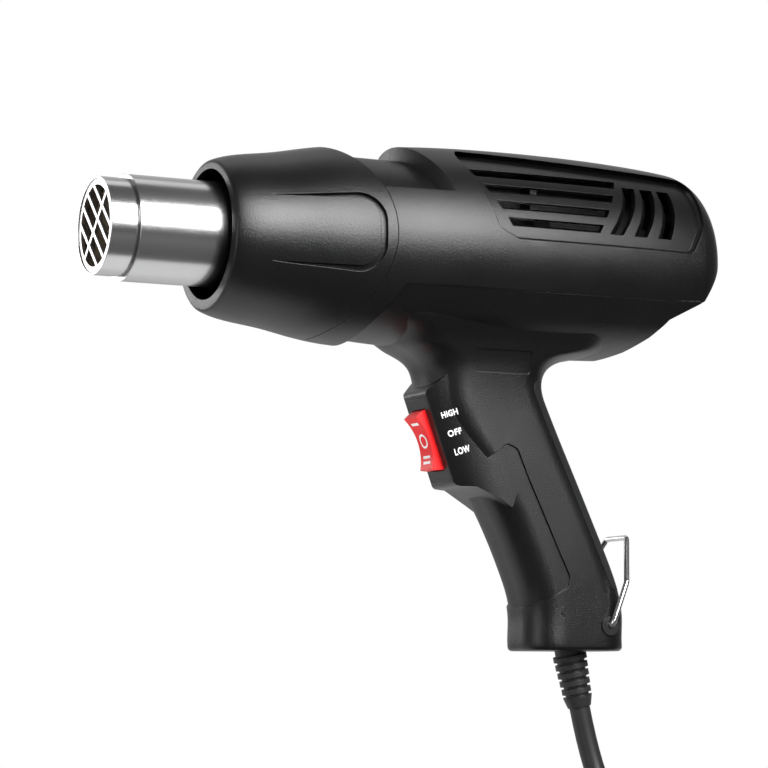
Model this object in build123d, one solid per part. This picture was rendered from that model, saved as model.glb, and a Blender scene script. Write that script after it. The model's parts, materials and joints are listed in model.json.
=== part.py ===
from build123d import *
import math
import os

# A pistol-grip hot-air tool for embossing. All sizes are in millimetres.
# Along the barrel, X runs from the nozzle's mouth towards the rear, Z is up from the barrel's
# axis, and the side of the housing without screw holes faces -Y. At the end every solid is
# moved so that the origin is the middle of the grip.

os.makedirs("parts", exist_ok=True)

# Clearances and cuts
seat_gap = 0.1
seam_gap = 0.15
run_gap = 0.04
swing_gap = 0.3
overrun = 6.0

# Middle of the grip
grip_x = 173.5
grip_z = -100.0

# Nozzle: an inner tube that hot air leaves by, and an outer sleeve that ends short of it
nozzle_r = 17.0
nozzle_wall = 0.8
nozzle_neck = 0.5
nozzle_length = 84.0
nozzle_flange_r = 23.0
nozzle_flange_t = 1.5
collar_length = 9.5
collar_relief = 0.5
sleeve_r = 18.5
sleeve_wall = 0.8
sleeve_lip = 1.0

# Grille in the mouth
grille_t = 1.4
grille_setback = 0.4
grille_open_r = 14.1
grille_bar_w = 1.4
grille_bar_pitch = 5.8
grille_bar_count = 4
grille_angle = 45.0

# Heater
mica_wall = 0.4
mica_front_x = 6.0
mica_rear_x = 74.0
former_front_x = 9.0
former_length = 58.0
former_half_w = 12.2
former_t = 0.8
former_tab = 4.0
wire_r = 0.7
winding_turns = 7
winding_pitch = 5.6
cutoff_r = 1.8
cutoff_length = 9.0
cutoff_lead_r = 0.45
terminal_plate_t = 1.2
terminal_plate_hole_r = 4.6
terminal_plate_hole_pcr = 9.6
terminal_plate_hole_count = 4

# Round body of nose shroud and housing
barrel_r = 38.8
body_drop = 0.6
body_front_x = 41.5
body_end_x = 236.0
body_end_r = 24.0
body_shares = [(0.0, 0.680), (0.110, 0.797), (0.177, 0.863), (0.239, 0.908), (0.296, 0.926),
               (0.362, 0.955), (0.455, 0.984), (0.609, 1.0), (0.763, 0.990), (0.861, 0.966),
               (0.935, 0.932)]
end_slope_share = 0.12
body_wall = 4.8

# Nose shroud
mouth_bore_r = 22.9
mouth_round = 1.6
shroud_wall = 2.6
seam_arc_over = 3.2
seam_side_x = 98.6
shroud_crown_x = 84.0
shroud_crown_slope = 20.0

# U-shaped groove on each side of the nose
groove_tip_x = 54.0
groove_bend_x = 80.0
groove_tip_z = 11.4
groove_half_h = 14.6
groove_corner_r = 9.5
groove_w = 2.6
groove_depth = 1.6

# Saddle recess behind the nose, on top
saddle_r = 32.0
saddle_ledge_z = 16.4
cowl_front_x = 113.0
cowl_arc_r = 65.0

# Flattened belly under the barrel
belly_front_x = 90.0
belly_rear_x = 232.0
belly_corner_r = 24.0
belly_shares = [(0.80, -0.20), (0.893, -0.437), (0.722, -0.655)]
belly_bottom_share = 0.93
crease_z = -17.3
crease_front_x = 103.4
crease_run_share = 0.582
rear_points = [(236.5, 5.0), (234.2, -2.0), (226.4, -16.1), (213.3, -23.3), (208.6, -29.4),
               (203.0, -34.2), (195.0, -38.0)]

# Handle, as level sections: height, front, rear and half width
handle_bottom_z = -143.8
handle_half_w = 15.5
handle_corner_share = 0.78
handle_round = 1.6
handle_wall = 2.5
handle_sections = [(-25.0, 99.0, 204.0, 26.0), (-31.0, 105.5, 199.0, 22.0),
                   (-35.5, 113.3, 192.0, 19.3), (-38.5, 119.3, 179.5, 18.0),
                   (-42.0, 123.4, 173.5, 17.0), (-48.0, 125.4, 171.4, 16.2),
                   (-56.0, 127.0, 173.8, 15.7), (-70.0, 134.0, 180.2, 15.5),
                   (-85.0, 144.5, 187.2, 15.5), (-100.0, 153.0, 194.1, 15.5),
                   (-114.6, 159.6, 200.6, 15.5), (-124.0, 163.0, 203.8, 15.5),
                   (-132.0, 164.3, 204.9, 15.5), (-143.8, 164.4, 205.0, 15.5)]
neck_index = 5

# Switch boss: a tilted flat face whose sides curve back into the handle's sides. Its outline from
# the side is given as shares of its height: down along the face, and back into the handle.
boss_x = 128.5
boss_z = -68.7
boss_tilt = 19.8
boss_w = 17.4
boss_h = 35.5
boss_depth = 18.0
boss_reach = 30.0
boss_edge_round = 1.2
boss_head_round = 2.2
boss_foot_round = 3.0
boss_shares = [(-0.5, 0.0), (0.5, 0.0), (0.572, 0.183), (0.71, 0.313), (0.897, 0.47), (0.6, 0.727),
               (-0.39, 0.634), (-0.648, 0.365)]

# Grip panels pressed into both sides of the handle
panel_depth = 0.7
panel_points = [(120.0, -91.5), (148.0, -73.1), (152.5, -69.9), (156.7, -71.6), (161.5, -82.7),
                (166.8, -93.7), (174.3, -109.4), (178.1, -117.2), (177.3, -121.2), (163.6, -128.8),
                (150.0, -133.5), (120.0, -133.5)]
panel_round = 2.5

# Bare rectangle under the belly, on the near side
plate_x = 149.8
plate_z = -40.8
plate_w = 23.0
plate_h = 8.0
plate_round = 1.2
plate_depth = 0.4

# Strip let into the back of the handle
strip_top_x = 162.0
strip_top_z = -46.5
strip_bottom_z = -121.5
strip_tilt = 24.6
strip_t = 1.2
strip_round = 3.0

# Vent panels
vent_depth = 2.2
vent_slope = 1.0
vent_slope_top_z = 30.0
vent_round = 4.0
louvre_gap = 1.3
louvre_past = 0.8
louvre_steps = 4
vent_points = [(127.4, 34.8), (158.0, 33.6), (190.0, 32.2), (227.5, 31.0), (225.4, 12.0),
               (218.5, 0.2), (145.0, 0.2), (137.6, 3.8)]
vent_row_count = 4
vent_row_z = 6.8
vent_row_pitch = 6.15
vent_row_h = 3.1
vent_left_x = 146.8
vent_left_lean = -0.555
vent_right_x = 176.3
vent_right_lean = 0.626
vent_slant_low_z = 5.2
vent_slant_high_z = 24.6
vent_slants = [(186.6, 197.6, 5.6), (197.0, 205.4, 5.6), (207.6, 213.0, 5.6)]
vent_slant_bulge = 1.2

# Front ring that holds the nozzle, air duct and fan
mount_ring_t = 6.0
duct_wall = 1.5
duct_throat_r = 17.5
duct_cone_end_x = 112.0
fan_x = 117.0
fan_length = 10.0
fan_tip_gap = 1.0
fan_r = 25.5
fan_hub_r = 7.0
fan_blade_t = 1.2
fan_blade_count = 9
fan_blade_angle = 38.0
fan_blade_root = 1.0
duct_end_x = 131.0
duct_flange_t = 2.0
bracket_t = 2.5
bracket_hub_r = 11.0
bracket_spoke_w = 5.0
bracket_spoke_count = 4
bracket_screw_y = 8.0
bracket_screw_r = 1.2
bracket_screw_head_r = 2.0
bracket_screw_head_t = 1.2

# Motor
motor_r = 14.0
motor_length = 38.0
motor_wall = 1.0
motor_boss_r = 5.0
shaft_r = 1.6
shaft_front_x = 115.0
shaft_tail = 3.0
magnet_t = 2.2
magnet_span = 120.0
magnet_end_gap = 5.0
armature_r = 9.6
armature_length = 20.0
armature_slots = 5
armature_slot_w = 2.4
armature_core_share = 0.6
commutator_r = 3.6
commutator_length = 6.0
end_cap_t = 4.0
damper_t = 4.0
damper_length = 7.0
rib_t = 3.0
rib_half_w = 8.0
board_r = 12.5
board_t = 1.6
board_gap = 5.0
board_hole_r = 3.2
standoff_r = 1.6
standoff_share = 0.7
diode_r = 1.5
diode_length = 5.0
diode_count = 4
diode_pitch = 4.5
diode_share = 0.35
capacitor_r = 4.0
capacitor_length = 12.0
capacitor_share = 0.55

# Rocker switch
bezel_w = 15.0
bezel_h = 31.0
bezel_t = 1.5
bezel_round = 0.8
switch_w = 12.6
switch_h = 27.4
switch_depth = 21.0
rocker_w = 9.6
rocker_end_r = 11.35
rocker_pivot_drop = 0.5
rocker_tip = 4.4
rocker_dish = 1.9
rocker_sole = 4.0
rocker_pin_r = 1.0
rocker_pin_length = 0.9
chamber_depth = 7.2
chamber_gap = 0.25
terminal_w = 4.8
terminal_t = 0.8
terminal_length = 8.0
terminal_pitch = 8.6
terminal_count = 3

# Housing screws, as places on the side view, driven from +Y
front_screw_inset = 0.8
screw_places = [(129.0, front_screw_inset - barrel_r), (200.0, -24.5), (222.5, 18.0), (161.5, -54.5), (166.0, -103.0),
                (170.5, -136.0)]
screw_r = 1.5
screw_head_r = 2.9
screw_head_t = 2.2
screw_length = 16.0
screw_boss_r = 4.2
screw_seat_y = 8.0

# Wire bail and its bushings
bail_x = 194.5
bail_z = -134.8
bail_wire_r = 1.0
bail_lean = 21.0
bail_knee = 17.0
bail_height = 35.0
bail_top_half_w = 7.0
bail_bend_r = 2.0
bail_end_y = 9.0
bushing_r = 3.5
bushing_length = 6.6
bushing_proud = 0.6

# Strain relief, cord, coil, tie and plug
cord_d = 7.6
relief_x = 186.2
relief_tilt = 12.2
relief_length = 20.6
relief_inside = 4.7
relief_flange_r = 8.6
relief_flange_t = 2.2
relief_core_top_r = 5.2
relief_core_end_r = 4.3
relief_ring_top_r = 6.2
relief_ring_end_r = 5.4
relief_ring_count = 5
relief_ring_t = 1.9
relief_collar_t = 4.0
inlet_length = 14.0
clamp_t = 3.2
clamp_length = 18.0
clamp_w = 6.0
clamp_screw_r = 1.3
clamp_screw_length = 11.0
clamp_screw_head_r = 2.4
clamp_screw_head_t = 1.6
clamp_up = 14.0
clamp_bite = 0.4
cord_route = [(190.55, 0.0, -163.93), (194.67, 0.0, -182.99), (199.6, -6.2, -201.0),
              (206.2, -12.15, -217.0), (217.3, -12.15, -231.4)]
arc_share = 0.45
coil_start_clock = 50.0
coil_end_clock = 180.0
coil_whole_turns = 6
coil_layers = 4
coil_mean_r = 43.5
coil_pitch = 8.1
coil_climb_turns = 0.5
coil_arcs_per_turn = 8
tail_run = 12.0
tail_turn = 14.0
tie_w = 12.0
tie_t = 1.4
tie_clock = 285.0
plug_relief_length = 16.0
plug_relief_r = 5.2
plug_length = 30.0
plug_w = 27.0
plug_t = 20.0
plug_round = 4.0
plug_rim_round = 2.0
plug_relief_taper = 1.0
blade_length = 17.0
blade_w = 6.4
blade_t = 1.5
blade_pitch = 12.7

seam_arc_r = barrel_r + seam_arc_over
tube_r = nozzle_r - nozzle_neck
tube_bore_r = tube_r - nozzle_wall
sleeve_x = collar_length + collar_relief
cord_r = cord_d / 2
coil_turns = coil_whole_turns + (coil_end_clock - coil_start_clock) / 360
body_length = body_end_x - body_front_x
mount_ring_x = nozzle_length
motor_x = duct_end_x + bracket_t
motor_rear_x = motor_x + motor_length


def save(name, shape):
    """Move a finished sub-part to the grip's frame and write it."""
    export_step(Pos(-grip_x, 0, -grip_z) * shape, "parts/" + name + ".step")


def along_x(x, radius, length, y=0, z=0):
    """A round bar that starts at station x and runs towards the rear."""
    return Pos(x, y, z) * Rot(0, 90, 0) * Cylinder(radius, length, align=(Align.CENTER, Align.CENTER, Align.MIN))


def along_y(x, z, radius, y0, y1):
    """A round bar across the tool, from y0 to y1."""
    bar = Cylinder(radius, y1 - y0, align=(Align.CENTER, Align.CENTER, Align.MIN))
    return Pos(x, y0, z) * Rot(-90, 0, 0) * bar


def box_between(x0, x1, y0, y1, z0, z1):
    corner = (Align.MIN, Align.MIN, Align.MIN)
    return Pos(x0, y0, z0) * Box(x1 - x0, y1 - y0, z1 - z0, align=corner)


def spun(points):
    """A solid of revolution about the barrel's axis, from points of station and radius."""
    outline = Polyline([(x, 0, r) for x, r in points], close=True)
    return revolve(make_face(outline), Axis.X, 360)


def side_prism(points, y0, y1, rounding=0):
    """A prism across the tool, from points of station and height."""
    face = Plane.XZ * make_face(Polyline(points, close=True))
    if rounding:
        face = Plane.XZ * fillet(make_face(Polyline(points, close=True)).vertices(), rounding)
    return Pos(0, y0, 0) * extrude(face, y1 - y0, dir=(0, 1, 0))


# Round body

def body_radius(x):
    """Radius of the round body at a station, between the points of its outline."""
    place = (x - body_front_x) / body_length
    for (a, ra), (b, rb) in zip(body_shares, body_shares[1:]):
        if place <= b:
            return barrel_r * (ra + (rb - ra) * (place - a) / (b - a))
    return barrel_r * body_shares[-1][1]


def round_body(inset=0):
    """The round body, with its skin moved in by a wall."""
    points = [(body_front_x + body_length * a, 0, barrel_r * r - inset) for a, r in body_shares]
    side = Spline(points, tangents=[(1, 0, 0.5), (1, 0, -end_slope_share)])
    rear = (body_end_x - inset, 0, body_end_r)
    corner = TangentArc([points[-1], rear], tangent=(1, 0, -end_slope_share))
    front = (points[0][0], 0, 0)
    close = Polyline([rear, (rear[0], 0, 0), front, points[0]])
    face = make_face(side + corner + close)
    return Pos(0, 0, -body_drop) * revolve(face, Axis.X, 360)


def before_seam(gap=0):
    """Everything in front of the curved seam between nose and housing."""
    centre_x = seam_side_x - seam_arc_r
    bulge = along_y(centre_x, 0, seam_arc_r - gap, -barrel_r * 2, barrel_r * 2)
    front = box_between(-overrun, centre_x, -barrel_r * 2, barrel_r * 2, -barrel_r * 2, barrel_r * 2)
    return bulge + front


def rear_cut(inset=0):
    """What the slanted and curved rear end leaves out below the barrel's widest level."""
    far = body_end_x + overrun
    points = [(x - inset, z + inset / 2) for x, z in rear_points]
    edge = [(far, points[0][1])] + points + [(points[-1][0], handle_bottom_z), (far, handle_bottom_z)]
    return side_prism(edge, -barrel_r * 2, barrel_r * 2)


def belly(inset=0):
    """The flattened underside, as a loft of one section that follows the body's radius."""
    faces = []
    for x in (belly_front_x, (belly_front_x + belly_rear_x) / 2, belly_rear_x):
        r = body_radius(x) - inset
        right = [(x, r * y, r * z) for y, z in belly_shares]
        left = [(x, -y, z) for _, y, z in reversed(right)]
        arc = ThreePointArc(right[-1], (x, 0, -r * belly_bottom_share), left[0])
        rest = Polyline(left + right)
        faces.append(make_face(arc + rest))
    solid = loft(faces)
    middle_x = (belly_rear_x - inset) / 2
    plan = RectangleRounded(belly_rear_x - inset, 2 * barrel_r, belly_corner_r)
    limit = extrude(Pos(middle_x, 0, -barrel_r * 2) * plan, barrel_r * 3)
    return Pos(0, 0, -body_drop) * (solid & limit)


def handle(inset=0, flared=True):
    """The handle, lofted through its level sections, with or without the flare at its top."""
    faces = []
    sections = handle_sections
    if not flared:
        neck = handle_sections[neck_index]
        sections = [(handle_sections[0][0],) + neck[1:]] + handle_sections[neck_index:]
    for z, front, rear, half_w in sections:
        length = rear - front - 2 * inset
        width = 2 * (half_w - inset)
        outline = RectangleRounded(length, width, handle_corner_share * width / 2)
        height = max(z, handle_bottom_z + inset)
        faces.append(Pos((front + rear) / 2, 0, height) * outline)
    return loft(faces)


def boss_plane(out=0):
    """The switch boss's flat face, seen with its local Y running down it and Z outwards."""
    tilt = math.radians(boss_tilt)
    outward = Vector(-math.cos(tilt), 0, -math.sin(tilt))
    return Plane(origin=Vector(boss_x, 0, boss_z) + outward * out, x_dir=(0, 1, 0), z_dir=outward)


def boss_side():
    """The switch boss as seen from the side, through the handle's width."""
    points = [(boss_h * down, -boss_h * back) for down, back in boss_shares]
    outline = Polyline(points[:3]) + ThreePointArc(*points[2:5]) + Polyline(points[4:] + points[:1])
    face = make_face(outline)
    foot = face.vertices().group_by(Axis.Y)[-1].sort_by(Axis.X)[-1]
    face = fillet(foot, boss_foot_round)
    head = face.vertices().group_by(Axis.Y)[-1].sort_by(Axis.X)[0]
    face = fillet(head, boss_head_round)
    return extrude(Plane.YZ * face, handle_half_w, both=True)


def boss_plan():
    """The switch boss as seen along its face, whose sides turn into the handle's sides."""
    half = boss_w / 2
    side = handle_half_w - panel_depth
    curve_r = ((side - half) ** 2 + boss_depth ** 2) / (2 * (side - half))
    turn = math.asin(boss_depth / curve_r) / 2
    middle = (side - curve_r + curve_r * math.cos(turn), -boss_depth + curve_r * math.sin(turn))
    right = ThreePointArc((half, 0), middle, (side, -boss_depth))
    left = ThreePointArc((-side, -boss_depth), (-middle[0], middle[1]), (-half, 0))
    back = Polyline([(side, -boss_depth), (side, -boss_reach), (-side, -boss_reach), (-side, -boss_depth)])
    face = make_face(Line((-half, 0), (half, 0)) + right + back + left)
    face = fillet(face.vertices().group_by(Axis.Y)[-1], boss_edge_round)
    return extrude(Plane.XZ * face, boss_h, both=True)


def switch_boss():
    return boss_plane() * (boss_side() & boss_plan())


def outer_body():
    """The whole outside of the housing, before it is hollowed and split."""
    body = round_body()
    low_front = crease_front_x + crease_run_share * (handle_bottom_z - crease_z)
    under = [(crease_front_x, crease_z), (body_end_x + overrun, crease_z),
             (body_end_x + overrun, handle_bottom_z), (low_front, handle_bottom_z)]
    body -= side_prism(under, -barrel_r * 2, barrel_r * 2)
    body += belly()
    body -= rear_cut()
    grip = handle() - panel_cut()
    bottom = grip.edges().filter_by_position(Axis.Z, handle_bottom_z, handle_bottom_z)
    grip = fillet(bottom, handle_round)
    return body + grip + switch_boss()


def cavity():
    """The room inside the housing, which stays clear of the saddle's floor."""
    inside = round_body(body_wall) - rear_cut(body_wall)
    front = seam_side_x - seam_arc_r / 2
    start = box_between(0, front, -barrel_r * 2, barrel_r * 2, -barrel_r * 2, barrel_r * 2)
    low = saddle_ledge_z - handle_wall
    far = cowl_front_x + handle_wall * 4
    block = box_between(front, far, -barrel_r, barrel_r, low, barrel_r * 2)
    saddle_floor = block - along_x(0, saddle_r - handle_wall, body_end_x, z=-body_drop)
    return (inside - start - saddle_floor) + handle(handle_wall, flared=False)


def groove_tool():
    """The U-shaped band on the nose's side, thin at its two tips."""
    end = groove_bend_x + groove_half_h
    high = groove_half_h - groove_w
    points = [(groove_tip_x, groove_tip_z), (end, groove_half_h), (end, -groove_half_h),
              (groove_tip_x, -groove_tip_z), (end - groove_w, -high), (end - groove_w, high)]
    face = make_face(Polyline(points, close=True))
    face = fillet(face.vertices().group_by(Axis.X)[-1], groove_corner_r)
    inner = face.vertices().filter_by_position(Axis.X, end - groove_w - seat_gap, end - groove_w + seat_gap)
    face = fillet(inner, groove_corner_r - groove_w)
    face = Pos(0, -body_drop) * face
    prism = extrude(Plane.XZ * face, barrel_r * 2, both=True)
    return prism - round_body(groove_depth)


def crown_cut():
    """The sloping rear of the nose's crown, above the saddle."""
    rise = math.tan(math.radians(shroud_crown_slope))
    top_r = body_radius(shroud_crown_x)
    far = seam_side_x + overrun
    low = top_r - body_drop - (far - shroud_crown_x) * rise
    points = [(shroud_crown_x, top_r - body_drop), (far, low), (far, barrel_r + overrun),
              (shroud_crown_x, barrel_r + overrun)]
    return side_prism(points, -barrel_r * 2, barrel_r * 2)


def nose_shroud():
    skin = round_body() & before_seam(seam_gap)
    inner = round_body(shroud_wall)
    lining = along_x(0, mouth_bore_r, body_front_x + shroud_wall + overrun)
    behind = box_between(body_front_x + shroud_wall, body_end_x, -barrel_r * 2, barrel_r * 2,
                         -barrel_r * 2, barrel_r * 2)
    skin = skin - (inner & behind) - lining
    skin -= groove_tool()
    skin -= crown_cut()
    rim = skin.edges().filter_by(GeomType.CIRCLE).group_by(Axis.X)[0].sort_by(SortBy.LENGTH)[-1]
    return fillet(rim, mouth_round)


def saddle_cut():
    """The recess between the nose and the cowl, with a ledge along each side."""
    x0 = seam_side_x - seam_arc_r
    block = box_between(x0, cowl_front_x + overrun * 2, -barrel_r, barrel_r, saddle_ledge_z, barrel_r * 2)
    cowl = Pos(cowl_front_x + cowl_arc_r, 0, 0) * Cylinder(cowl_arc_r, barrel_r * 4)
    return block - cowl - along_x(0, saddle_r, body_end_x, z=-body_drop)


def vent_recess():
    """The vent panel's recess in the near side, with a sloping wall at its foot and ends."""
    prism = side_prism(vent_points, -barrel_r * 2, 0, vent_round)
    tool = prism - round_body(vent_depth)
    floor = tool.faces().filter_by(GeomType.PLANE, reverse=True).sort_by(SortBy.AREA)[-1]
    curved = floor.edges().filter_by(GeomType.BSPLINE)
    foot = [edge for edge in curved if edge.center().Z < vent_slope_top_z]
    return chamfer(foot, vent_slope)


def skin_y(x, z, inset):
    """How far the body's skin lies from the middle at a place on its side, moved in by an inset."""
    r = body_radius(x) - inset
    return math.sqrt(r * r - (z + body_drop) ** 2)


def level_louvre(low, high, start, end):
    """A slot open along its top only, with a ramp that runs into it from below."""
    faces = []
    far = barrel_r * 2
    for x in (start, (start + end) / 2, end):
        skin = skin_y(x, low, vent_depth)
        deep = skin_y(x, high, body_wall + louvre_past)
        points = [(x, -far, low), (x, -far, high), (x, -deep, high), (x, -deep, high - louvre_gap),
                  (x, -skin, low)]
        faces.append(make_face(Polyline(points, close=True)))
    return loft(faces, ruled=True)


def leaning_louvre(low_x, high_x, width):
    """A slot open along its rear only, with a ramp that runs into it from the front."""
    faces = []
    far = barrel_r * 2
    for step in range(louvre_steps + 1):
        share = step / louvre_steps
        z = vent_slant_low_z + (vent_slant_high_z - vent_slant_low_z) * share
        front = low_x + (high_x - low_x) * share + 4 * vent_slant_bulge * share * (1 - share) - width / 2
        rear = front + width
        skin = skin_y(front, z, vent_depth)
        deep = skin_y(rear, z, body_wall + louvre_past)
        points = [(front, -far, z), (rear, -far, z), (rear, -deep, z), (rear - louvre_gap, -deep, z),
                  (front, -skin, z)]
        faces.append(make_face(Polyline(points, close=True)))
    return loft(faces, ruled=True)


def vent_slots():
    """Level slots with slanted ends, and the three leaning slots behind them."""
    cuts = []
    for row in range(vent_row_count):
        middle = vent_row_z + row * vent_row_pitch
        low = middle - vent_row_h / 2
        high = middle + vent_row_h / 2
        left = [vent_left_x + vent_left_lean * z for z in (low, high)]
        right = [vent_right_x + vent_right_lean * z for z in (low, high)]
        points = [(left[0], low), (right[0], low), (right[1], high), (left[1], high)]
        slot = side_prism(points, -barrel_r * 2, 0)
        cuts.append(slot & level_louvre(low, high, min(left), max(right)))
    for low_x, high_x, width in vent_slants:
        cuts.append(leaning_louvre(low_x, high_x, width))
    return cuts


def panel_cut():
    """The pressed-in grip panels on both sides."""
    prism = side_prism(panel_points, -barrel_r, barrel_r, panel_round)
    return prism - handle(panel_depth)


def plate_cut():
    """The bare rectangle on the near side, cut to the belly's and the neck's own curve."""
    outline = Pos(plate_x, plate_z) * RectangleRounded(plate_w, plate_h, plate_round)
    prism = extrude(Plane.XZ * outline, barrel_r * 2)
    return prism - handle(plate_depth) - belly(plate_depth)


def strip_region(grow=0):
    """The tilted slab that the strip on the handle's back is cut by, with level ends."""
    run = (strip_top_z - strip_bottom_z) * math.tan(math.radians(strip_tilt))
    low = strip_bottom_z - grow
    high = strip_top_z + grow
    points = [(strip_top_x - grow, high), (strip_top_x + run - grow, low),
              (strip_top_x + run + handle_half_w * 2, low), (strip_top_x + handle_half_w * 2, high)]
    return side_prism(points, -barrel_r, barrel_r, strip_round + grow)


def screw_bosses():
    """Posts for the housing screws, from wall to wall, with room for screw and head."""
    posts = []
    for x, z in screw_places:
        posts.append(along_y(x, z, screw_boss_r, -barrel_r, barrel_r))
    return posts


def switch_pocket(gap=0):
    """Room for the rocker switch, from the boss's face inwards."""
    bezel = extrude(boss_plane() * RectangleRounded(bezel_w + 2 * gap, bezel_h + 2 * gap, bezel_round), -bezel_t)
    body = extrude(boss_plane() * Rectangle(switch_w + 2 * gap, switch_h + 2 * gap), -switch_depth - gap)
    return bezel + body


def relief_place(along=0):
    """A place on the strain relief's axis, with local Z down along it."""
    tilt = math.radians(relief_tilt)
    down = Vector(math.sin(tilt), 0, -math.cos(tilt))
    return Plane(origin=Vector(relief_x, 0, handle_bottom_z) + down * along, x_dir=(0, 1, 0), z_dir=down)


def relief_first():
    """How far down its tilted axis the first ring starts, to lie just under the handle."""
    return relief_ring_top_r * math.sin(math.radians(relief_tilt)) + seat_gap


def relief_bar(radius, start, length):
    return extrude(relief_place(start) * Circle(radius), length)


def motor_ribs():
    """Ribs above and beside the motor that carry the rubber ring round its rear."""
    x = motor_rear_x - damper_length / 2 - rib_t / 2
    reach = barrel_r - body_wall / 2 - body_drop
    top = box_between(x, x + rib_t, -rib_half_w, rib_half_w, 0, reach)
    sides = box_between(x, x + rib_t, -reach, reach, -rib_half_w * 2, 0)
    return top + sides - along_x(x - overrun, motor_r + damper_t, rib_t + 2 * overrun)


def front_rib():
    """The ring behind the front bulkhead, which keeps it against the spigot's shoulder."""
    x = mount_ring_x + mount_ring_t + seat_gap
    inner = saddle_r - handle_wall - rib_t
    return along_x(x, barrel_r, rib_t) - along_x(x - overrun, inner, rib_t + 2 * overrun)


def housing():
    """Both halves of the housing, split at the middle."""
    shell = outer_body() - before_seam()
    spigot_x = mount_ring_x - rib_t
    spigot = round_body(shroud_wall + seam_gap) & box_between(
        spigot_x, cowl_front_x, -barrel_r, barrel_r, -barrel_r, barrel_r)
    shell += spigot
    shell -= saddle_cut()
    recess = vent_recess()
    shell -= recess
    shell -= mirror(recess, about=Plane.XZ)
    shell -= plate_cut()
    shell -= strip_region(seam_gap) - handle(strip_t + seat_gap)
    room = cavity()
    posts = [post & room for post in screw_bosses()]
    shell -= room - motor_ribs() - front_rib()
    for post in posts:
        shell += post
    for slot in vent_slots():
        shell -= slot
        shell -= mirror(slot, about=Plane.XZ)
    shell -= switch_pocket(seat_gap)
    for x, z in screw_places:
        shell -= along_y(x, z, screw_r, screw_seat_y - screw_length, screw_seat_y)
        shell -= along_y(x, z, screw_head_r + seat_gap, screw_seat_y, barrel_r * 2)
    shell -= relief_bar(relief_core_top_r + seat_gap, -relief_inside, relief_inside + overrun)
    shell -= along_y(bail_x, bail_z, bushing_r, -handle_half_w - overrun, handle_half_w + overrun)
    left = shell & box_between(-overrun, body_end_x + overrun, -barrel_r * 2, 0, handle_bottom_z * 2, barrel_r * 2)
    for post in clamp_posts():
        left += post
    right = shell & box_between(-overrun, body_end_x + overrun, 0, barrel_r * 2, handle_bottom_z * 2, barrel_r * 2)
    return left, right


def rear_strip():
    """The soft strip that lies in the handle's back."""
    return (handle() & strip_region()) - handle(strip_t)


def housing_screws():
    """Pan-head screws from the far half into the near half's posts."""
    screws = []
    for x, z in screw_places:
        head = along_y(x, z, screw_head_r, screw_seat_y, screw_seat_y + screw_head_t)
        shank = along_y(x, z, screw_r, screw_seat_y - screw_length, screw_seat_y)
        screws.append(head + shank)
    return Compound(children=screws)


# Nozzle and heater

def nozzle_tube():
    """The inner tube: a collar at its mouth, a slimmer run, and a flange at its rear."""
    rear = nozzle_length
    mouth_bore = nozzle_r - nozzle_wall
    step_x = collar_length - nozzle_wall
    return spun([(0, mouth_bore), (0, nozzle_r), (collar_length, nozzle_r), (collar_length, tube_r),
                 (rear - nozzle_flange_t, tube_r), (rear - nozzle_flange_t, nozzle_flange_r),
                 (rear, nozzle_flange_r), (rear, tube_bore_r), (step_x, tube_bore_r), (step_x, mouth_bore)])


def heat_sleeve():
    rear = nozzle_length - nozzle_flange_t
    inner = sleeve_r - sleeve_wall
    lip = tube_r + seat_gap
    return spun([(sleeve_x, lip), (sleeve_x, sleeve_r), (rear, sleeve_r), (rear, inner),
                 (sleeve_x + sleeve_lip, inner), (sleeve_x + sleeve_lip, lip)])


def outlet_grille():
    """A ring crossed by four parallel bars and one bar square to them."""
    outer = nozzle_r - nozzle_wall
    disc = along_x(grille_setback, outer, grille_t)
    opening = along_x(grille_setback - overrun, grille_open_r, grille_t + 2 * overrun)
    bars = []
    span = (grille_bar_count - 1) * grille_bar_pitch
    for i in range(grille_bar_count):
        offset = i * grille_bar_pitch - span / 2
        bars.append(Pos(0, 0, offset) * Box(grille_t, 2 * outer, grille_bar_w))
    bars.append(Box(grille_t, grille_bar_w, 2 * outer))
    cross = Pos(grille_setback + grille_t / 2, 0, 0) * Rot(grille_angle, 0, 0) * Compound(children=bars)
    ring = disc - opening
    for bar in cross.solids():
        ring += bar & disc
    return ring


def mica_sleeve():
    outer = tube_bore_r - seat_gap
    sleeve = along_x(mica_front_x, outer, mica_rear_x - mica_front_x)
    return sleeve - along_x(mica_front_x - overrun, outer - mica_wall, mica_rear_x - mica_front_x + 2 * overrun)


def heater_former():
    """Two mica plates slotted into each other, with wide tabs that seat in the mica sleeve."""
    tab_r = tube_bore_r - mica_wall - 2 * seat_gap
    rear = former_front_x + former_length
    points = [(former_front_x, -tab_r), (former_front_x + former_tab, -tab_r),
              (former_front_x + former_tab, -former_half_w), (rear - former_tab, -former_half_w),
              (rear - former_tab, -tab_r), (rear, -tab_r)]
    outline = points + [(x, -r) for x, r in reversed(points)]
    middle = former_front_x + former_length / 2
    upright = side_prism(outline, -former_t / 2, former_t / 2)
    slot = box_between(middle, rear + overrun, -former_t, former_t, -former_t / 2 - seat_gap, former_t / 2 + seat_gap)
    level = Rot(90, 0, 0) * side_prism(outline, -former_t / 2, former_t / 2)
    level_slot = box_between(former_front_x - overrun, middle, -former_t / 2 - seat_gap,
                             former_t / 2 + seat_gap, -former_t, former_t)
    return Compound(children=[upright - slot, level - level_slot])


def arc_pair(start, start_dir, end, end_dir):
    """Two tangent arcs from one point and direction to another."""
    reach = end - start
    both = start_dir + end_dir
    spread = 2 * (1 - start_dir.dot(end_dir))
    along = reach.dot(both)
    d = (-along + math.sqrt(along * along + spread * reach.dot(reach))) / spread
    joint = (start + end + (start_dir - end_dir) * d) / 2
    joint_dir = ((end - end_dir * d) - (start + start_dir * d)).normalized()
    return [TangentArc([start, joint], tangent=start_dir), TangentArc([joint, end], tangent=joint_dir)]


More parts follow.
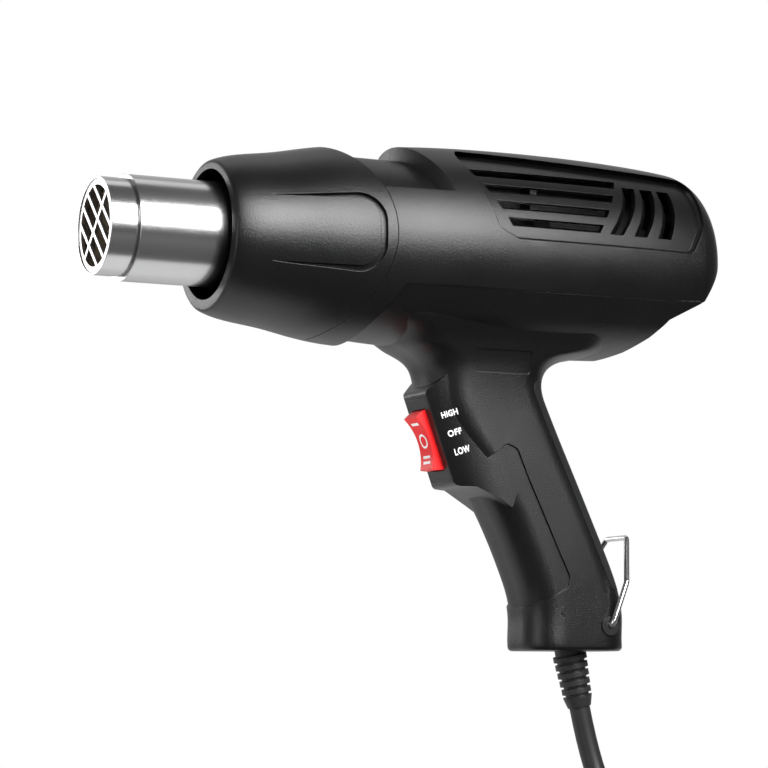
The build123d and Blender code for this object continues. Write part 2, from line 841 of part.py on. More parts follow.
def wound_path(place, first, last, steps):
    """A smooth path of arcs along a winding, with a straight end at each side."""
    step = (last - first) / steps
    nudge = step / 1000
    points = []
    for i in range(steps + 1):
        t = first + i * step
        direction = (place(t + nudge) - place(t - nudge)).normalized()
        points.append((place(t), direction))
    return points


def wound_tube(place, first, last, steps, radius, straight):
    """One unbroken tube along a winding."""
    knots = wound_path(place, first, last, steps)
    start, start_dir = knots[0]
    end, end_dir = knots[-1]
    edges = [Line(start - start_dir * straight, start)]
    for (p, a), (q, b) in zip(knots, knots[1:]):
        edges += arc_pair(p, a, q, b)
    edges.append(Line(end, end + end_dir * straight))
    path = Wire(edges)
    head = Plane(origin=start - start_dir * straight, z_dir=start_dir)
    return sweep(head * Circle(radius), path=path), path


def least_self_gap(place, first, last, turn, radius):
    """The least clear distance between neighbouring turns, measured on points."""
    count = 48
    total = int((last - first) / turn * count)
    points = [place(first + turn * i / count) for i in range(total + 1)]
    gap = barrel_r
    for i, p in enumerate(points):
        for q in points[i + count // 2:]:
            gap = min(gap, (p - q).length - 2 * radius)
    return gap


def heating_coil():
    """The heating wire, wound round the outer edges of the crossed plates."""
    turn = 2 * math.pi
    radius = former_half_w + wire_r + seat_gap
    front = former_front_x + former_length / 2 - winding_turns * winding_pitch / 2

    def place(t):
        return Vector(front + winding_pitch * t / turn, radius * math.cos(t), radius * math.sin(t))

    last = turn * winding_turns
    print("heating coil gap", round(least_self_gap(place, 0, last, turn, wire_r), 2))
    tube, _ = wound_tube(place, 0, last, winding_turns * 4, wire_r, 2 * wire_r)
    return tube


def thermal_cutoff():
    """A can in one corner of the crossed plates, resting on both."""
    side = former_t / 2 + cutoff_r + seat_gap
    rear = former_front_x + former_length
    can = along_x(rear - cutoff_length - former_tab, cutoff_r, cutoff_length, y=side, z=side)
    lead = along_x(rear - former_tab, cutoff_lead_r, former_tab * 2, y=side, z=side)
    return can + lead


def terminal_plate():
    """The mica disc that closes the heater's rear and lets the air in."""
    outer = tube_bore_r - seat_gap
    x = mica_rear_x + seat_gap
    plate = along_x(x, outer, terminal_plate_t)
    for i in range(terminal_plate_hole_count):
        turn = math.radians(360 / terminal_plate_hole_count * i)
        y = terminal_plate_hole_pcr * math.cos(turn)
        z = terminal_plate_hole_pcr * math.sin(turn)
        plate -= along_x(x - overrun, terminal_plate_hole_r, terminal_plate_t + 2 * overrun, y=y, z=z)
    return plate


def mount_ring():
    """The bulkhead between nozzle and housing, seated in the housing's front spigot."""
    x = mount_ring_x
    outer = saddle_r - handle_wall - seat_gap
    ring = along_x(x, outer, mount_ring_t, z=-body_drop)
    bore = along_x(x - overrun, duct_throat_r - duct_wall, mount_ring_t + 2 * overrun)
    return ring - bore


# Fan and motor

def air_duct():
    """The cone from the fan to the heater, with the fan's ring and a flange at its rear."""
    x = mount_ring_x + mount_ring_t
    ring_r = fan_r + fan_tip_gap
    flange_x = duct_end_x - duct_flange_t
    flange_r = body_radius(duct_end_x) - body_wall - seat_gap - body_drop
    return spun([(x, duct_throat_r - duct_wall), (x, duct_throat_r), (duct_cone_end_x, ring_r + duct_wall),
                 (flange_x, ring_r + duct_wall), (flange_x, flange_r), (duct_end_x, flange_r),
                 (duct_end_x, ring_r), (duct_cone_end_x, ring_r)])


def motor_bracket():
    """A ring and four spokes between the duct's flange and the motor's front face."""
    ring_r = fan_r + fan_tip_gap
    outer = along_x(duct_end_x, ring_r + duct_wall, bracket_t)
    ring = outer - along_x(duct_end_x - overrun, ring_r - duct_wall, bracket_t + 2 * overrun)
    ring += along_x(duct_end_x, bracket_hub_r, bracket_t)
    for i in range(bracket_spoke_count):
        spoke = Box(bracket_t, ring_r, bracket_spoke_w, align=(Align.MIN, Align.MIN, Align.CENTER))
        angle = 45 + 360 / bracket_spoke_count * i
        ring += Pos(duct_end_x, 0, 0) * Rot(angle, 0, 0) * spoke
    ring -= along_x(duct_end_x - overrun, motor_boss_r + seat_gap, bracket_t + 2 * overrun)
    for y in (-bracket_screw_y, bracket_screw_y):
        ring -= along_x(duct_end_x - overrun, bracket_screw_r + seat_gap, bracket_t + 2 * overrun, y=y)
    return ring


def motor_screws():
    """The two short screws that hold the motor's face to its bracket."""
    screws = []
    for y in (-bracket_screw_y, bracket_screw_y):
        head = along_x(duct_end_x - bracket_screw_head_t, bracket_screw_head_r, bracket_screw_head_t, y=y)
        screws.append(head + along_x(duct_end_x, bracket_screw_r, bracket_t + motor_wall, y=y))
    return Compound(children=screws)


def fan_impeller():
    """A hub with blades set at an angle, pressed on the motor's shaft."""
    hub = along_x(fan_x, fan_hub_r, fan_length)
    blade_z = (fan_hub_r - fan_blade_root + fan_r) / 2
    blade_h = fan_r - fan_hub_r + fan_blade_root
    chord = fan_length / math.cos(math.radians(fan_blade_angle)) - fan_blade_t
    blades = []
    for i in range(fan_blade_count):
        blade = Pos(fan_x + fan_length / 2, 0, blade_z) * Rot(0, 0, fan_blade_angle) * Box(chord, fan_blade_t, blade_h)
        blades.append(Rot(360 / fan_blade_count * i, 0, 0) * blade)
    limit = along_x(fan_x, fan_r, fan_length)
    for blade in blades:
        hub += blade & limit
    return hub - along_x(fan_x - overrun, shaft_r, fan_length + 2 * overrun)


def motor_shaft():
    return along_x(shaft_front_x, shaft_r, motor_rear_x + shaft_tail - shaft_front_x)


def motor_can():
    """The can with its front bearing boss and its open rear."""
    can = along_x(motor_x, motor_r, motor_length - end_cap_t)
    can += along_x(motor_x - bracket_t, motor_boss_r, bracket_t)
    can -= along_x(motor_x + motor_wall, motor_r - motor_wall, motor_length)
    for y in (-bracket_screw_y, bracket_screw_y):
        can -= along_x(motor_x - overrun, bracket_screw_r, motor_wall + 2 * overrun, y=y)
    return can - along_x(motor_x - overrun, shaft_r + run_gap, motor_length)


def motor_magnets():
    """Two curved magnets, left and right in the can."""
    outer = motor_r - motor_wall
    start = motor_x + motor_wall + magnet_end_gap
    length = motor_length - end_cap_t - 2 * magnet_end_gap - motor_wall - commutator_length
    ring = along_x(start, outer, length) - along_x(start - overrun, outer - magnet_t, length + 2 * overrun)
    half = outer * math.cos(math.radians(magnet_span / 2))
    left = ring & box_between(start, start + length, -outer, -half, -outer, outer)
    right = ring & box_between(start, start + length, half, outer, -outer, outer)
    return Compound(children=[left, right])


def motor_armature():
    """The slotted iron core on the shaft."""
    x = motor_x + motor_wall + magnet_end_gap
    core = along_x(x, armature_r, armature_length)
    for i in range(armature_slots):
        slot = box_between(x - overrun, x + armature_length + overrun, -armature_slot_w / 2,
                           armature_slot_w / 2, armature_r * armature_core_share, armature_r + overrun)
        core -= Rot(360 / armature_slots * i, 0, 0) * slot
    return core - along_x(x - overrun, shaft_r, armature_length + 2 * overrun)


def motor_commutator():
    x = motor_x + motor_wall + magnet_end_gap + armature_length
    bar = along_x(x, commutator_r, commutator_length)
    return bar - along_x(x - overrun, shaft_r, commutator_length + 2 * overrun)


def motor_end_cap():
    """The moulded cap that closes the can and holds the rear bearing."""
    x = motor_rear_x - end_cap_t
    cap = along_x(x, motor_r, end_cap_t)
    return cap - along_x(x - overrun, shaft_r + run_gap, end_cap_t + 2 * overrun)


def motor_damper():
    """The rubber ring between the motor's rear and the housing's ribs."""
    x = motor_rear_x - damper_length
    ring = along_x(x, motor_r + damper_t - seat_gap, damper_length)
    return ring - along_x(x - overrun, motor_r, damper_length + 2 * overrun)


def rectifier_board():
    """A round board on two standoffs behind the motor."""
    x = motor_rear_x + board_gap
    board = along_x(x, board_r, board_t)
    for z in (-board_r * standoff_share, board_r * standoff_share):
        board += along_x(motor_rear_x, standoff_r, board_gap, z=z)
    return board - along_x(x - overrun, board_hole_r, board_t + 2 * overrun)


def rectifier_diodes():
    """Four diodes that lie on the board."""
    x = motor_rear_x + board_gap + board_t + diode_r
    diodes = []
    end = -board_r * diode_share
    for i in range(diode_count):
        z = (i - (diode_count - 1) / 2) * diode_pitch
        diodes.append(along_y(x, z, diode_r, end - diode_length, end))
    return Compound(children=diodes)


def suppression_capacitor():
    x = motor_rear_x + board_gap + board_t
    return along_x(x, capacitor_r, capacitor_length, y=board_r * capacitor_share)


# Rocker switch

def switch_body():
    """The bezel and box of the switch, with the room that the rocker tips in."""
    bezel = extrude(boss_plane() * RectangleRounded(bezel_w, bezel_h, bezel_round), -bezel_t)
    box = extrude(boss_plane() * Rectangle(switch_w, switch_h), -switch_depth)
    room = extrude(boss_plane(overrun) * Rectangle(rocker_w + 2 * chamber_gap, 2 * (rocker_end_r + chamber_gap)),
                   -chamber_depth - overrun)
    pin_room = Cylinder(rocker_pin_r + run_gap, rocker_w + 2 * rocker_pin_length + 2 * seat_gap)
    pins = boss_plane(-rocker_pivot_drop - rocker_pin_r) * Rot(0, 90, 0) * pin_room
    return bezel + box - room - pins


def switch_rocker():
    """The red rocker: two horns round a dished face, ends curved about the pivot."""
    pivot = -rocker_pivot_drop - rocker_pin_r
    disc = Pos(0, 0, pivot) * Rot(0, 90, 0) * Cylinder(rocker_end_r, rocker_w)
    sole = Pos(0, 0, -rocker_sole) * Box(rocker_w, 4 * rocker_end_r, 4 * rocker_end_r,
                                         align=(Align.CENTER, Align.CENTER, Align.MIN))
    tip_half = math.sqrt(rocker_end_r ** 2 - (rocker_tip - pivot) ** 2)
    sag = rocker_tip - rocker_dish
    dish_r = (tip_half ** 2 + sag ** 2) / (2 * sag)
    dish = Pos(0, 0, rocker_dish + dish_r) * Rot(0, 90, 0) * Cylinder(dish_r, rocker_w * 2)
    top = Pos(0, 0, rocker_tip) * Box(rocker_w * 2, 4 * rocker_end_r, rocker_end_r,
                                      align=(Align.CENTER, Align.CENTER, Align.MIN))
    body = (disc & sole) - dish - top
    pins = Pos(0, 0, pivot) * Rot(0, 90, 0) * Cylinder(rocker_pin_r, rocker_w + 2 * rocker_pin_length)
    return boss_plane() * (body + pins)


def switch_terminals():
    """Flat blades behind the switch."""
    blades = []
    span = (terminal_count - 1) * terminal_pitch
    for i in range(terminal_count):
        plane = boss_plane(-switch_depth)
        blade = Pos(0, i * terminal_pitch - span / 2, -terminal_length / 2) * Box(terminal_w, terminal_t, terminal_length)
        blades.append(plane * blade)
    return Compound(children=blades)


# Wire bail

def wire_bail():
    """The sprung wire loop, with its ends turned into the bushings."""
    leg_y = handle_half_w + bushing_proud + swing_gap + bail_wire_r
    lean = math.radians(bail_lean)

    def spot(y, up):
        return Vector(bail_x + up * math.sin(lean), y, bail_z + up * math.cos(lean))

    half = [spot(leg_y, 0), spot(leg_y, bail_knee), spot(bail_top_half_w, bail_height)]
    points = [spot(bail_end_y, 0)] + half
    points += [Vector(p.X, -p.Y, p.Z) for p in reversed(points)]
    path = FilletPolyline(points, radius=bail_bend_r)
    start = Plane(origin=points[0], z_dir=(0, 1, 0))
    return sweep(start * Circle(bail_wire_r), path=path)


def bail_bushings():
    outer_y = handle_half_w + bushing_proud
    bushings = []
    for side in (-1, 1):
        inner_y = outer_y - bushing_length
        low, high = sorted((side * inner_y, side * outer_y))
        ring = along_y(bail_x, bail_z, bushing_r, low, high)
        bushings.append(ring - along_y(bail_x, bail_z, bail_wire_r + run_gap, low - overrun, high + overrun))
    return Compound(children=bushings)


# Cord

def strain_relief():
    """The ribbed sleeve round the cord, with a flange inside the handle."""
    first = relief_first()
    step = (relief_length - relief_collar_t - first) / relief_ring_count
    points = [(-relief_inside - relief_flange_t, cord_r), (-relief_inside - relief_flange_t, relief_flange_r),
              (-relief_inside, relief_flange_r), (-relief_inside, relief_core_top_r)]
    for i in range(relief_ring_count):
        share = i / (relief_ring_count - 1)
        core = relief_core_top_r + (relief_core_end_r - relief_core_top_r) * share
        ring = relief_ring_top_r + (relief_ring_end_r - relief_ring_top_r) * share
        top = first + i * step
        points += [(top, core), (top, ring), (top + relief_ring_t, ring), (top + relief_ring_t, core)]
    collar = relief_length - relief_collar_t
    points += [(collar, relief_core_end_r), (collar, relief_ring_end_r), (relief_length, relief_core_end_r),
               (relief_length, cord_r)]
    face = make_face(Polyline([(r, s) for s, r in points], close=True))
    solid = revolve(Plane.XZ * face, Axis.Z, 360)
    return relief_place() * solid


def cord_inlet():
    """The stretch of cord held in the strain relief and clamped in the handle."""
    return relief_bar(cord_r, -relief_inside - inlet_length, relief_inside + inlet_length + relief_length)


def clamp_centre():
    return relief_place(-clamp_up).origin


def cord_clamp():
    """The bar that presses the cord's inlet against the near half's two posts."""
    middle = clamp_centre()
    bar = box_between(middle.X - clamp_length / 2, middle.X + clamp_length / 2, cord_r - clamp_bite,
                      cord_r - clamp_bite + clamp_t, middle.Z - clamp_w / 2, middle.Z + clamp_w / 2)
    bar -= relief_bar(cord_r, -relief_inside - inlet_length, relief_inside + inlet_length)
    for x in clamp_screw_xs():
        bar -= along_y(x, middle.Z, clamp_screw_r, 0, barrel_r)
    return bar


def clamp_screw_xs():
    middle = clamp_centre()
    reach = clamp_length / 2 - clamp_screw_head_r - seat_gap
    return [middle.X - reach, middle.X + reach]


def clamp_posts():
    """Posts on the near half that the cord clamp is screwed to."""
    posts = []
    for x in clamp_screw_xs():
        post = along_y(x, clamp_centre().Z, clamp_screw_head_r, -handle_half_w, cord_r - clamp_bite)
        posts.append(post - along_y(x, clamp_centre().Z, clamp_screw_r, clamp_screw_tip() - seat_gap, barrel_r))
    return posts


def clamp_screw_tip():
    return cord_r - clamp_bite + clamp_t - clamp_screw_length


def clamp_screws():
    screws = []
    top = cord_r - clamp_bite + clamp_t
    for x in clamp_screw_xs():
        head = along_y(x, clamp_centre().Z, clamp_screw_head_r, top, top + clamp_screw_head_t)
        screws.append(head + along_y(x, clamp_centre().Z, clamp_screw_r, clamp_screw_tip(), top))
    return Compound(children=screws)


def corner_radii(points):
    """For each corner of the cord's route, the largest radius that its two runs allow."""
    radii = []
    for a, b, c in zip(points, points[1:], points[2:]):
        into = Vector(*b) - Vector(*a)
        out = Vector(*c) - Vector(*b)
        turn = math.radians(into.get_angle(out))
        radii.append(arc_share * min(into.length, out.length) / math.tan(turn / 2))
    return radii


def supply_cord():
    """The free stretch of cord from the strain relief down to the coil."""
    radii = corner_radii(cord_route)
    path = FilletPolyline(cord_route, radius=radii)
    first = Vector(*cord_route[1]) - Vector(*cord_route[0])
    head = Plane(origin=cord_route[0], z_dir=first)
    tube = sweep(head * Circle(cord_r), path=path)
    print("cord radii", [round(r) for r in radii], "length", round(path.length, 1))
    print("cord volume share", round(tube.volume / (math.pi * cord_r ** 2 * path.length), 4))
    return tube


def coil_place():
    """The coil as a function of the turn: layers of a flat spiral that winds in and out."""
    turn = 2 * math.pi
    per_layer = coil_turns / coil_layers
    outer_r = coil_mean_r + coil_pitch * per_layer / 2
    start = math.radians(coil_start_clock)
    last_point = Vector(*cord_route[-1])
    before = Vector(*cord_route[-2])
    join = last_point + (last_point - before).normalized() * cord_d
    centre = join - Vector(math.sin(start), 0, math.cos(start)) * outer_r

    def place(t):
        done = t / turn
        fold = (done / per_layer) % 2
        inward = fold if fold < 1 else 2 - fold
        radius = outer_r - coil_pitch * per_layer * inward
        climbs = 0
        for layer in range(1, coil_layers):
            along = min(max((done - layer * per_layer) / coil_climb_turns + 1 / 2, 0), 1)
            climbs += (1 - math.cos(math.pi * along)) / 2
        angle = start + t
        return Vector(centre.X + radius * math.sin(angle), last_point.Y + climbs * coil_pitch,
                      centre.Z + radius * math.cos(angle))

    return place, centre, outer_r


def cord_coil():
    """The put-away length of cord as one unbroken tube, six turns and a bit in four layers."""
    turn = 2 * math.pi
    place, _, _ = coil_place()
    last = coil_turns * turn
    steps = round(coil_turns * coil_arcs_per_turn)
    print("coil gap", round(least_self_gap(place, 0, last, turn, cord_r), 2))
    tube, path = wound_tube(place, 0, last, steps, cord_r, cord_d)
    print("coil length", round(path.length), "volume share",
          round(tube.volume / (math.pi * cord_r ** 2 * path.length), 4))
    return tube


def cord_tie():
    """The strap round the coil's bundle."""
    place, centre, outer_r = coil_place()
    inner_r = outer_r - coil_pitch * coil_turns / coil_layers
    wide = (coil_layers - 1) * coil_pitch + cord_d + 2 * swing_gap
    bow = tie_w ** 2 / (8 * (inner_r - cord_r))
    high = outer_r - inner_r + cord_d + 2 * (swing_gap + bow)
    outline = RectangleRounded(wide + 2 * tie_t, high + 2 * tie_t, cord_r)
    hole = RectangleRounded(wide, high, cord_r - tie_t)
    band = extrude(outline - hole, tie_w / 2, both=True)
    angle = math.radians(tie_clock)
    outward = Vector(math.sin(angle), 0, math.cos(angle))
    middle_y = cord_route[-1][1] + (coil_layers - 1) * coil_pitch / 2
    origin = Vector(centre.X, middle_y, centre.Z) + outward * (outer_r + inner_r) / 2
    return Plane(origin=origin, x_dir=(0, 1, 0), z_dir=Vector(0, 1, 0).cross(outward)) * band


def tail_points():
    """The cord's last stretch, which bends a little away from the coil."""
    place, centre, _ = coil_place()
    last = coil_turns * 2 * math.pi
    nudge = 0.001
    heading = (place(last + nudge) - place(last - nudge)).normalized()
    outward = (place(last) - centre).normalized()
    outward = Vector(outward.X, 0, outward.Z).normalized()
    turn = math.radians(tail_turn)
    start = place(last) + heading * cord_d
    bend = start + heading * tail_run
    end = bend + (heading * math.cos(turn) + outward * math.sin(turn)) * tail_run
    return [start, bend, end]


def cord_tail():
    """The stretch of cord between the coil and the plug."""
    points = tail_points()
    radii = corner_radii([tuple(p) for p in points])
    print("tail radius", [round(r) for r in radii])
    path = FilletPolyline(points, radius=radii[0])
    head = Plane(origin=points[0], z_dir=points[1] - points[0])
    return sweep(head * Circle(cord_r), path=path)


def plug_plane():
    """The plug's own frame at the cord's end, with local Z along the cord."""
    start, bend, end = tail_points()
    return Plane(origin=end, x_dir=(0, 1, 0), z_dir=end - bend)


def plug_body():
    """The moulded plug, with a tapered relief where the cord goes in."""
    thin = Circle(plug_relief_r - plug_relief_taper)
    relief = loft([thin, Pos(0, 0, plug_relief_length) * Circle(plug_relief_r)])
    face = Pos(0, 0, plug_relief_length) * RectangleRounded(plug_w, plug_t, plug_round)
    body = extrude(face, plug_length)
    rim = body.edges().group_by(Axis.Z)[0] + body.edges().group_by(Axis.Z)[-1]
    body = fillet(rim, plug_rim_round)
    return plug_plane() * (relief + body)


def plug_blades():
    blades = []
    for side in (-1, 1):
        start = plug_relief_length + plug_length
        blade = Pos(side * blade_pitch / 2, 0, start) * Box(blade_t, blade_w, blade_length,
                                                            align=(Align.CENTER, Align.CENTER, Align.MIN))
        blades.append(plug_plane() * blade)
    return Compound(children=blades)


def main():
    """Build every sub-part and write it under its own name."""
    parts = {}
    parts["nozzle_tube"] = nozzle_tube()
    parts["heat_sleeve"] = heat_sleeve()
    parts["outlet_grille"] = outlet_grille()
    parts["mica_sleeve"] = mica_sleeve()
    parts["heater_former"] = heater_former()
    parts["heating_coil"] = heating_coil()
    parts["thermal_cutoff"] = thermal_cutoff()
    parts["heater_terminal_plate"] = terminal_plate()
    parts["nozzle_mount_ring"] = mount_ring()
    parts["nose_shroud"] = nose_shroud()
    left, right = housing()
    parts["housing_left"] = left
    parts["housing_right"] = right
    parts["rear_grip_strip"] = rear_strip()
    parts["housing_screws"] = housing_screws()
    parts["air_duct"] = air_duct()
    parts["motor_bracket"] = motor_bracket()
    parts["fan_impeller"] = fan_impeller()
    parts["motor_shaft"] = motor_shaft()
    parts["motor_armature"] = motor_armature()
    parts["motor_commutator"] = motor_commutator()
    parts["motor_can"] = motor_can()
    parts["motor_magnets"] = motor_magnets()
    parts["motor_end_cap"] = motor_end_cap()
    parts["motor_screws"] = motor_screws()
    parts["motor_damper"] = motor_damper()
    parts["rectifier_board"] = rectifier_board()
    parts["rectifier_diodes"] = rectifier_diodes()
    parts["suppression_capacitor"] = suppression_capacitor()
    parts["switch_body"] = switch_body()
    parts["switch_rocker"] = switch_rocker()
    parts["switch_terminals"] = switch_terminals()
    parts["wire_bail"] = wire_bail()
    parts["bail_bushings"] = bail_bushings()
    parts["strain_relief"] = strain_relief()
    parts["cord_inlet"] = cord_inlet()
    parts["cord_clamp"] = cord_clamp()
    parts["cord_clamp_screws"] = clamp_screws()
    parts["supply_cord"] = supply_cord()
    parts["cord_coil"] = cord_coil()
    parts["cord_tail"] = cord_tail()
    parts["cord_tie"] = cord_tie()
    parts["plug_body"] = plug_body()
    parts["plug_blades"] = plug_blades()
    for name, shape in parts.items():
        save(name, shape)


if __name__ == "__main__":
    main()
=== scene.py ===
# %% [markdown]
# A pistol-grip hot-air tool for embossing, dressed for a studio picture.
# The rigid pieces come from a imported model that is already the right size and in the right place.
# This script gives them smooth skins, real finishes, lettering and a mains cord, and lights them.
# Everything is in metres. The origin is the middle of the grip, -X is the way the air blows, and +Z is up.

# %% Load the fixed frame
import json
import math

import bmesh
import bpy
from mathutils import Matrix, Vector
from mathutils.bvhtree import BVHTree


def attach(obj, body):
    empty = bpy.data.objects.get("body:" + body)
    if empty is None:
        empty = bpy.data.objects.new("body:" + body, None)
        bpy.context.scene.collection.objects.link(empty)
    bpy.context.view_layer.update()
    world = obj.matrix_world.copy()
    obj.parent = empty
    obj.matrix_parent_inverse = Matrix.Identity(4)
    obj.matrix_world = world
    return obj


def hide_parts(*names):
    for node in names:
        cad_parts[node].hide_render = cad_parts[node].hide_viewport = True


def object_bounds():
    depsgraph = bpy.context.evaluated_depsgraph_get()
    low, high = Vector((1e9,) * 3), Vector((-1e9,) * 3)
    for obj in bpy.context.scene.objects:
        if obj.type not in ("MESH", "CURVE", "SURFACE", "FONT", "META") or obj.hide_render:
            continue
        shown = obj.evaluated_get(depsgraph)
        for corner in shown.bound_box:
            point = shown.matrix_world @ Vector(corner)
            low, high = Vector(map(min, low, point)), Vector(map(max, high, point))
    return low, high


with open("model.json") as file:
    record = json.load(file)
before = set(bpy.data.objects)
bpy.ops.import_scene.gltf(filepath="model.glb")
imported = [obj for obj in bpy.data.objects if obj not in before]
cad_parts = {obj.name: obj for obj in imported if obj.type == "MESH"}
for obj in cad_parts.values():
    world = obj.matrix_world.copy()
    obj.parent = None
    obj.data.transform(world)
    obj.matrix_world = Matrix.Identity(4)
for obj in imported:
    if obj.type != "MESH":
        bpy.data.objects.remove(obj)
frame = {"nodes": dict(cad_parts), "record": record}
cad_low, cad_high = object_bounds()
print("frame nodes:", len(frame["nodes"]), "box:", cad_low, cad_high)

# %% [markdown]
# A maker measures this tool in millimetres along the barrel: from the nozzle's mouth, and up or
# down from the barrel's axis. The frame counts metres from the grip. One small function turns the
# first into the second, so every place below can be read against the real object.

# %% Millimetres along the barrel
MM = 0.001
GRIP_X = 173.5 * MM
GRIP_Z = -100.0 * MM
UP = Vector((0, 0, 1))


def place(x, y, z):
    """A point given along the barrel in millimetres, moved to the grip's frame in metres."""
    return Vector((x * MM - GRIP_X, y * MM, z * MM - GRIP_Z))


print("nozzle's mouth at", place(0, 0, 0))

# %% [markdown]
# The camera comes first, because every later choice is judged through it.
# The picture was taken with a long lens, from the nozzle's end and from a little below the barrel,
# so the lens looks slightly upwards. A camera is turned by its heading, then by its tilt.

# %% The camera
CAMERA_PLACE = Vector((-0.4995, -0.8765, -0.0564))
CAMERA_HEADING = 26.482
CAMERA_TILT = 6.252
CAMERA_LENS = 129.15
SENSOR = 36.0
CLIP_NEAR = 0.05
CLIP_FAR = 60

camera_data = bpy.data.cameras.new("studio_camera")
camera_data.lens = CAMERA_LENS
camera_data.sensor_width = SENSOR
camera_data.clip_start = CLIP_NEAR
camera_data.clip_end = CLIP_FAR
camera = bpy.data.objects.new("studio_camera", camera_data)
bpy.context.scene.collection.objects.link(camera)
camera.location = CAMERA_PLACE
camera.rotation_euler = (math.radians(90 + CAMERA_TILT), 0, math.radians(-CAMERA_HEADING))
bpy.context.scene.camera = camera
print("camera at", camera.location)

# %% [markdown]
# The mains lead drops from the strain relief, turns gently to one side and ends in a coil with a
# plug, put away as for storage. It could be drawn turn by turn, but a wound coil follows a rule:
# a flat spiral that winds in, climbs one layer while it turns round, and winds out again. So only
# the free stretch has points given one by one, and a loop works out the rest.

# %% The cord's route
CORD_D = 7.6 * MM
CORD_ROUTE = [place(190.55, 0.0, -163.93), place(194.67, 0.0, -182.99), place(199.6, -6.2, -201.0),
              place(206.2, -12.15, -217.0), place(217.3, -12.15, -231.4)]
COIL_START = 50.0
COIL_END = 180.0
COIL_WHOLE_TURNS = 6
COIL_LAYERS = 4
COIL_MEAN_R = 43.5 * MM
COIL_PITCH = 8.1 * MM
COIL_POINTS_PER_TURN = 24

coil_turns = COIL_WHOLE_TURNS + (COIL_END - COIL_START) / 360
turns_per_layer = coil_turns / COIL_LAYERS
coil_outer_r = COIL_MEAN_R + COIL_PITCH * turns_per_layer / 2
coil_heading = (CORD_ROUTE[-1] - CORD_ROUTE[-2]).normalized()
start_angle = math.radians(COIL_START)
coil_centre = (CORD_ROUTE[-1] + coil_heading * CORD_D
               - Vector((math.sin(start_angle), 0, math.cos(start_angle))) * coil_outer_r)


def coil_point(turn):
    """A point of the put-away coil, counted in turns from its start."""
    fold = (turn / turns_per_layer) % 2
    inward = fold if fold < 1 else 2 - fold
    radius = coil_outer_r - COIL_PITCH * turns_per_layer * inward
    climbs = 0
    for layer in range(1, COIL_LAYERS):
        along = min(max((turn - layer * turns_per_layer) / 0.5 + 0.5, 0), 1)
        climbs += (1 - math.cos(math.pi * along)) / 2
    angle = start_angle + 2 * math.pi * turn
    return Vector((coil_centre.x + radius * math.sin(angle), CORD_ROUTE[-1].y + climbs * COIL_PITCH,
                   coil_centre.z + radius * math.cos(angle)))


print("coil turns", round(coil_turns, 2), "outer radius", round(coil_outer_r, 4))

# %% [markdown]
# The last turn leaves the coil along its own heading, and bends a little outwards to its plug.
# All the points then become one NURBS spline. Of order 3, it stays close to its control points
# without passing through them, so the lead never shows a corner. The order is set after the
# points are added, because before that it would stay a chain of straight runs.

# %% The cord's spline
TAIL_RUN = 12.0 * MM
TAIL_TURN = 14.0
TURN_STEP = 0.001
CORD_SMOOTHNESS = 6

cord_points = list(CORD_ROUTE)
coil_steps = round(coil_turns * COIL_POINTS_PER_TURN)
for i in range(coil_steps + 1):
    cord_points.append(coil_point(coil_turns * i / coil_steps))
tail_heading = (coil_point(coil_turns) - coil_point(coil_turns - TURN_STEP)).normalized()
tail_outward = coil_point(coil_turns) - coil_centre
tail_outward = Vector((tail_outward.x, 0, tail_outward.z)).normalized()
tail_start = coil_point(coil_turns) + tail_heading * CORD_D
tail_bend = tail_start + tail_heading * TAIL_RUN
tail_angle = math.radians(TAIL_TURN)
tail_last = (tail_heading * math.cos(tail_angle) + tail_outward * math.sin(tail_angle)).normalized()
tail_end = tail_bend + tail_last * TAIL_RUN
cord_points += [tail_bend, tail_end]

cord_curve = bpy.data.curves.new("mains_cord", "CURVE")
cord_curve.dimensions = "3D"
cord_curve.resolution_u = CORD_SMOOTHNESS
cord_curve.bevel_depth = CORD_D / 2
cord_curve.bevel_resolution = CORD_SMOOTHNESS
cord_curve.use_fill_caps = True
cord_spline = cord_curve.splines.new("NURBS")
cord_spline.points.add(len(cord_points) - 1)
for point, place_of_point in zip(cord_spline.points, cord_points):
    point.co = (*place_of_point, 1)
cord_spline.order_u = 3
cord_spline.use_endpoint_u = True
mains_cord = bpy.data.objects.new("mains_cord", cord_curve)
bpy.context.scene.collection.objects.link(mains_cord)
cord_length = sum((b - a).length for a, b in zip(cord_points, cord_points[1:]))
print("cord points", len(cord_points), "length along its control points", round(cord_length, 3))

# %% [markdown]
# The surroundings. The picture is cut out on white, so the camera sees white at a strength of 1
# wherever it looks past the tool. Black plastic and bare steel are drawn by what they mirror, and
# a studio is white behind the tool and dim in front of it. So mirrored rays see a world that grows
# from dim to white along Y, and the light that falls on the tool is plainer than either.

# %% The world
WORLD_LEVEL = 0.42
MIRROR_DIM = 0.13
MIRROR_WHITE = 0.6
MIRROR_FROM = 0.25
MIRROR_TO = 0.85

world = bpy.data.worlds.new("studio")
bpy.context.scene.world = world
world.use_nodes = True
wn, wl = world.node_tree.nodes, world.node_tree.links
wn.clear()


def plain_background(level):
    """An even white surround of a given strength."""
    node = wn.new("ShaderNodeBackground")
    node.inputs["Color"].default_value = (1, 1, 1, 1)
    node.inputs["Strength"].default_value = level
    return node


def mixed(share, first, second):
    """Two surrounds, chosen by a share from zero to one."""
    node = wn.new("ShaderNodeMixShader")
    wl.new(share, node.inputs["Fac"])
    wl.new(first.outputs[0], node.inputs[1])
    wl.new(second.outputs[0], node.inputs[2])
    return node


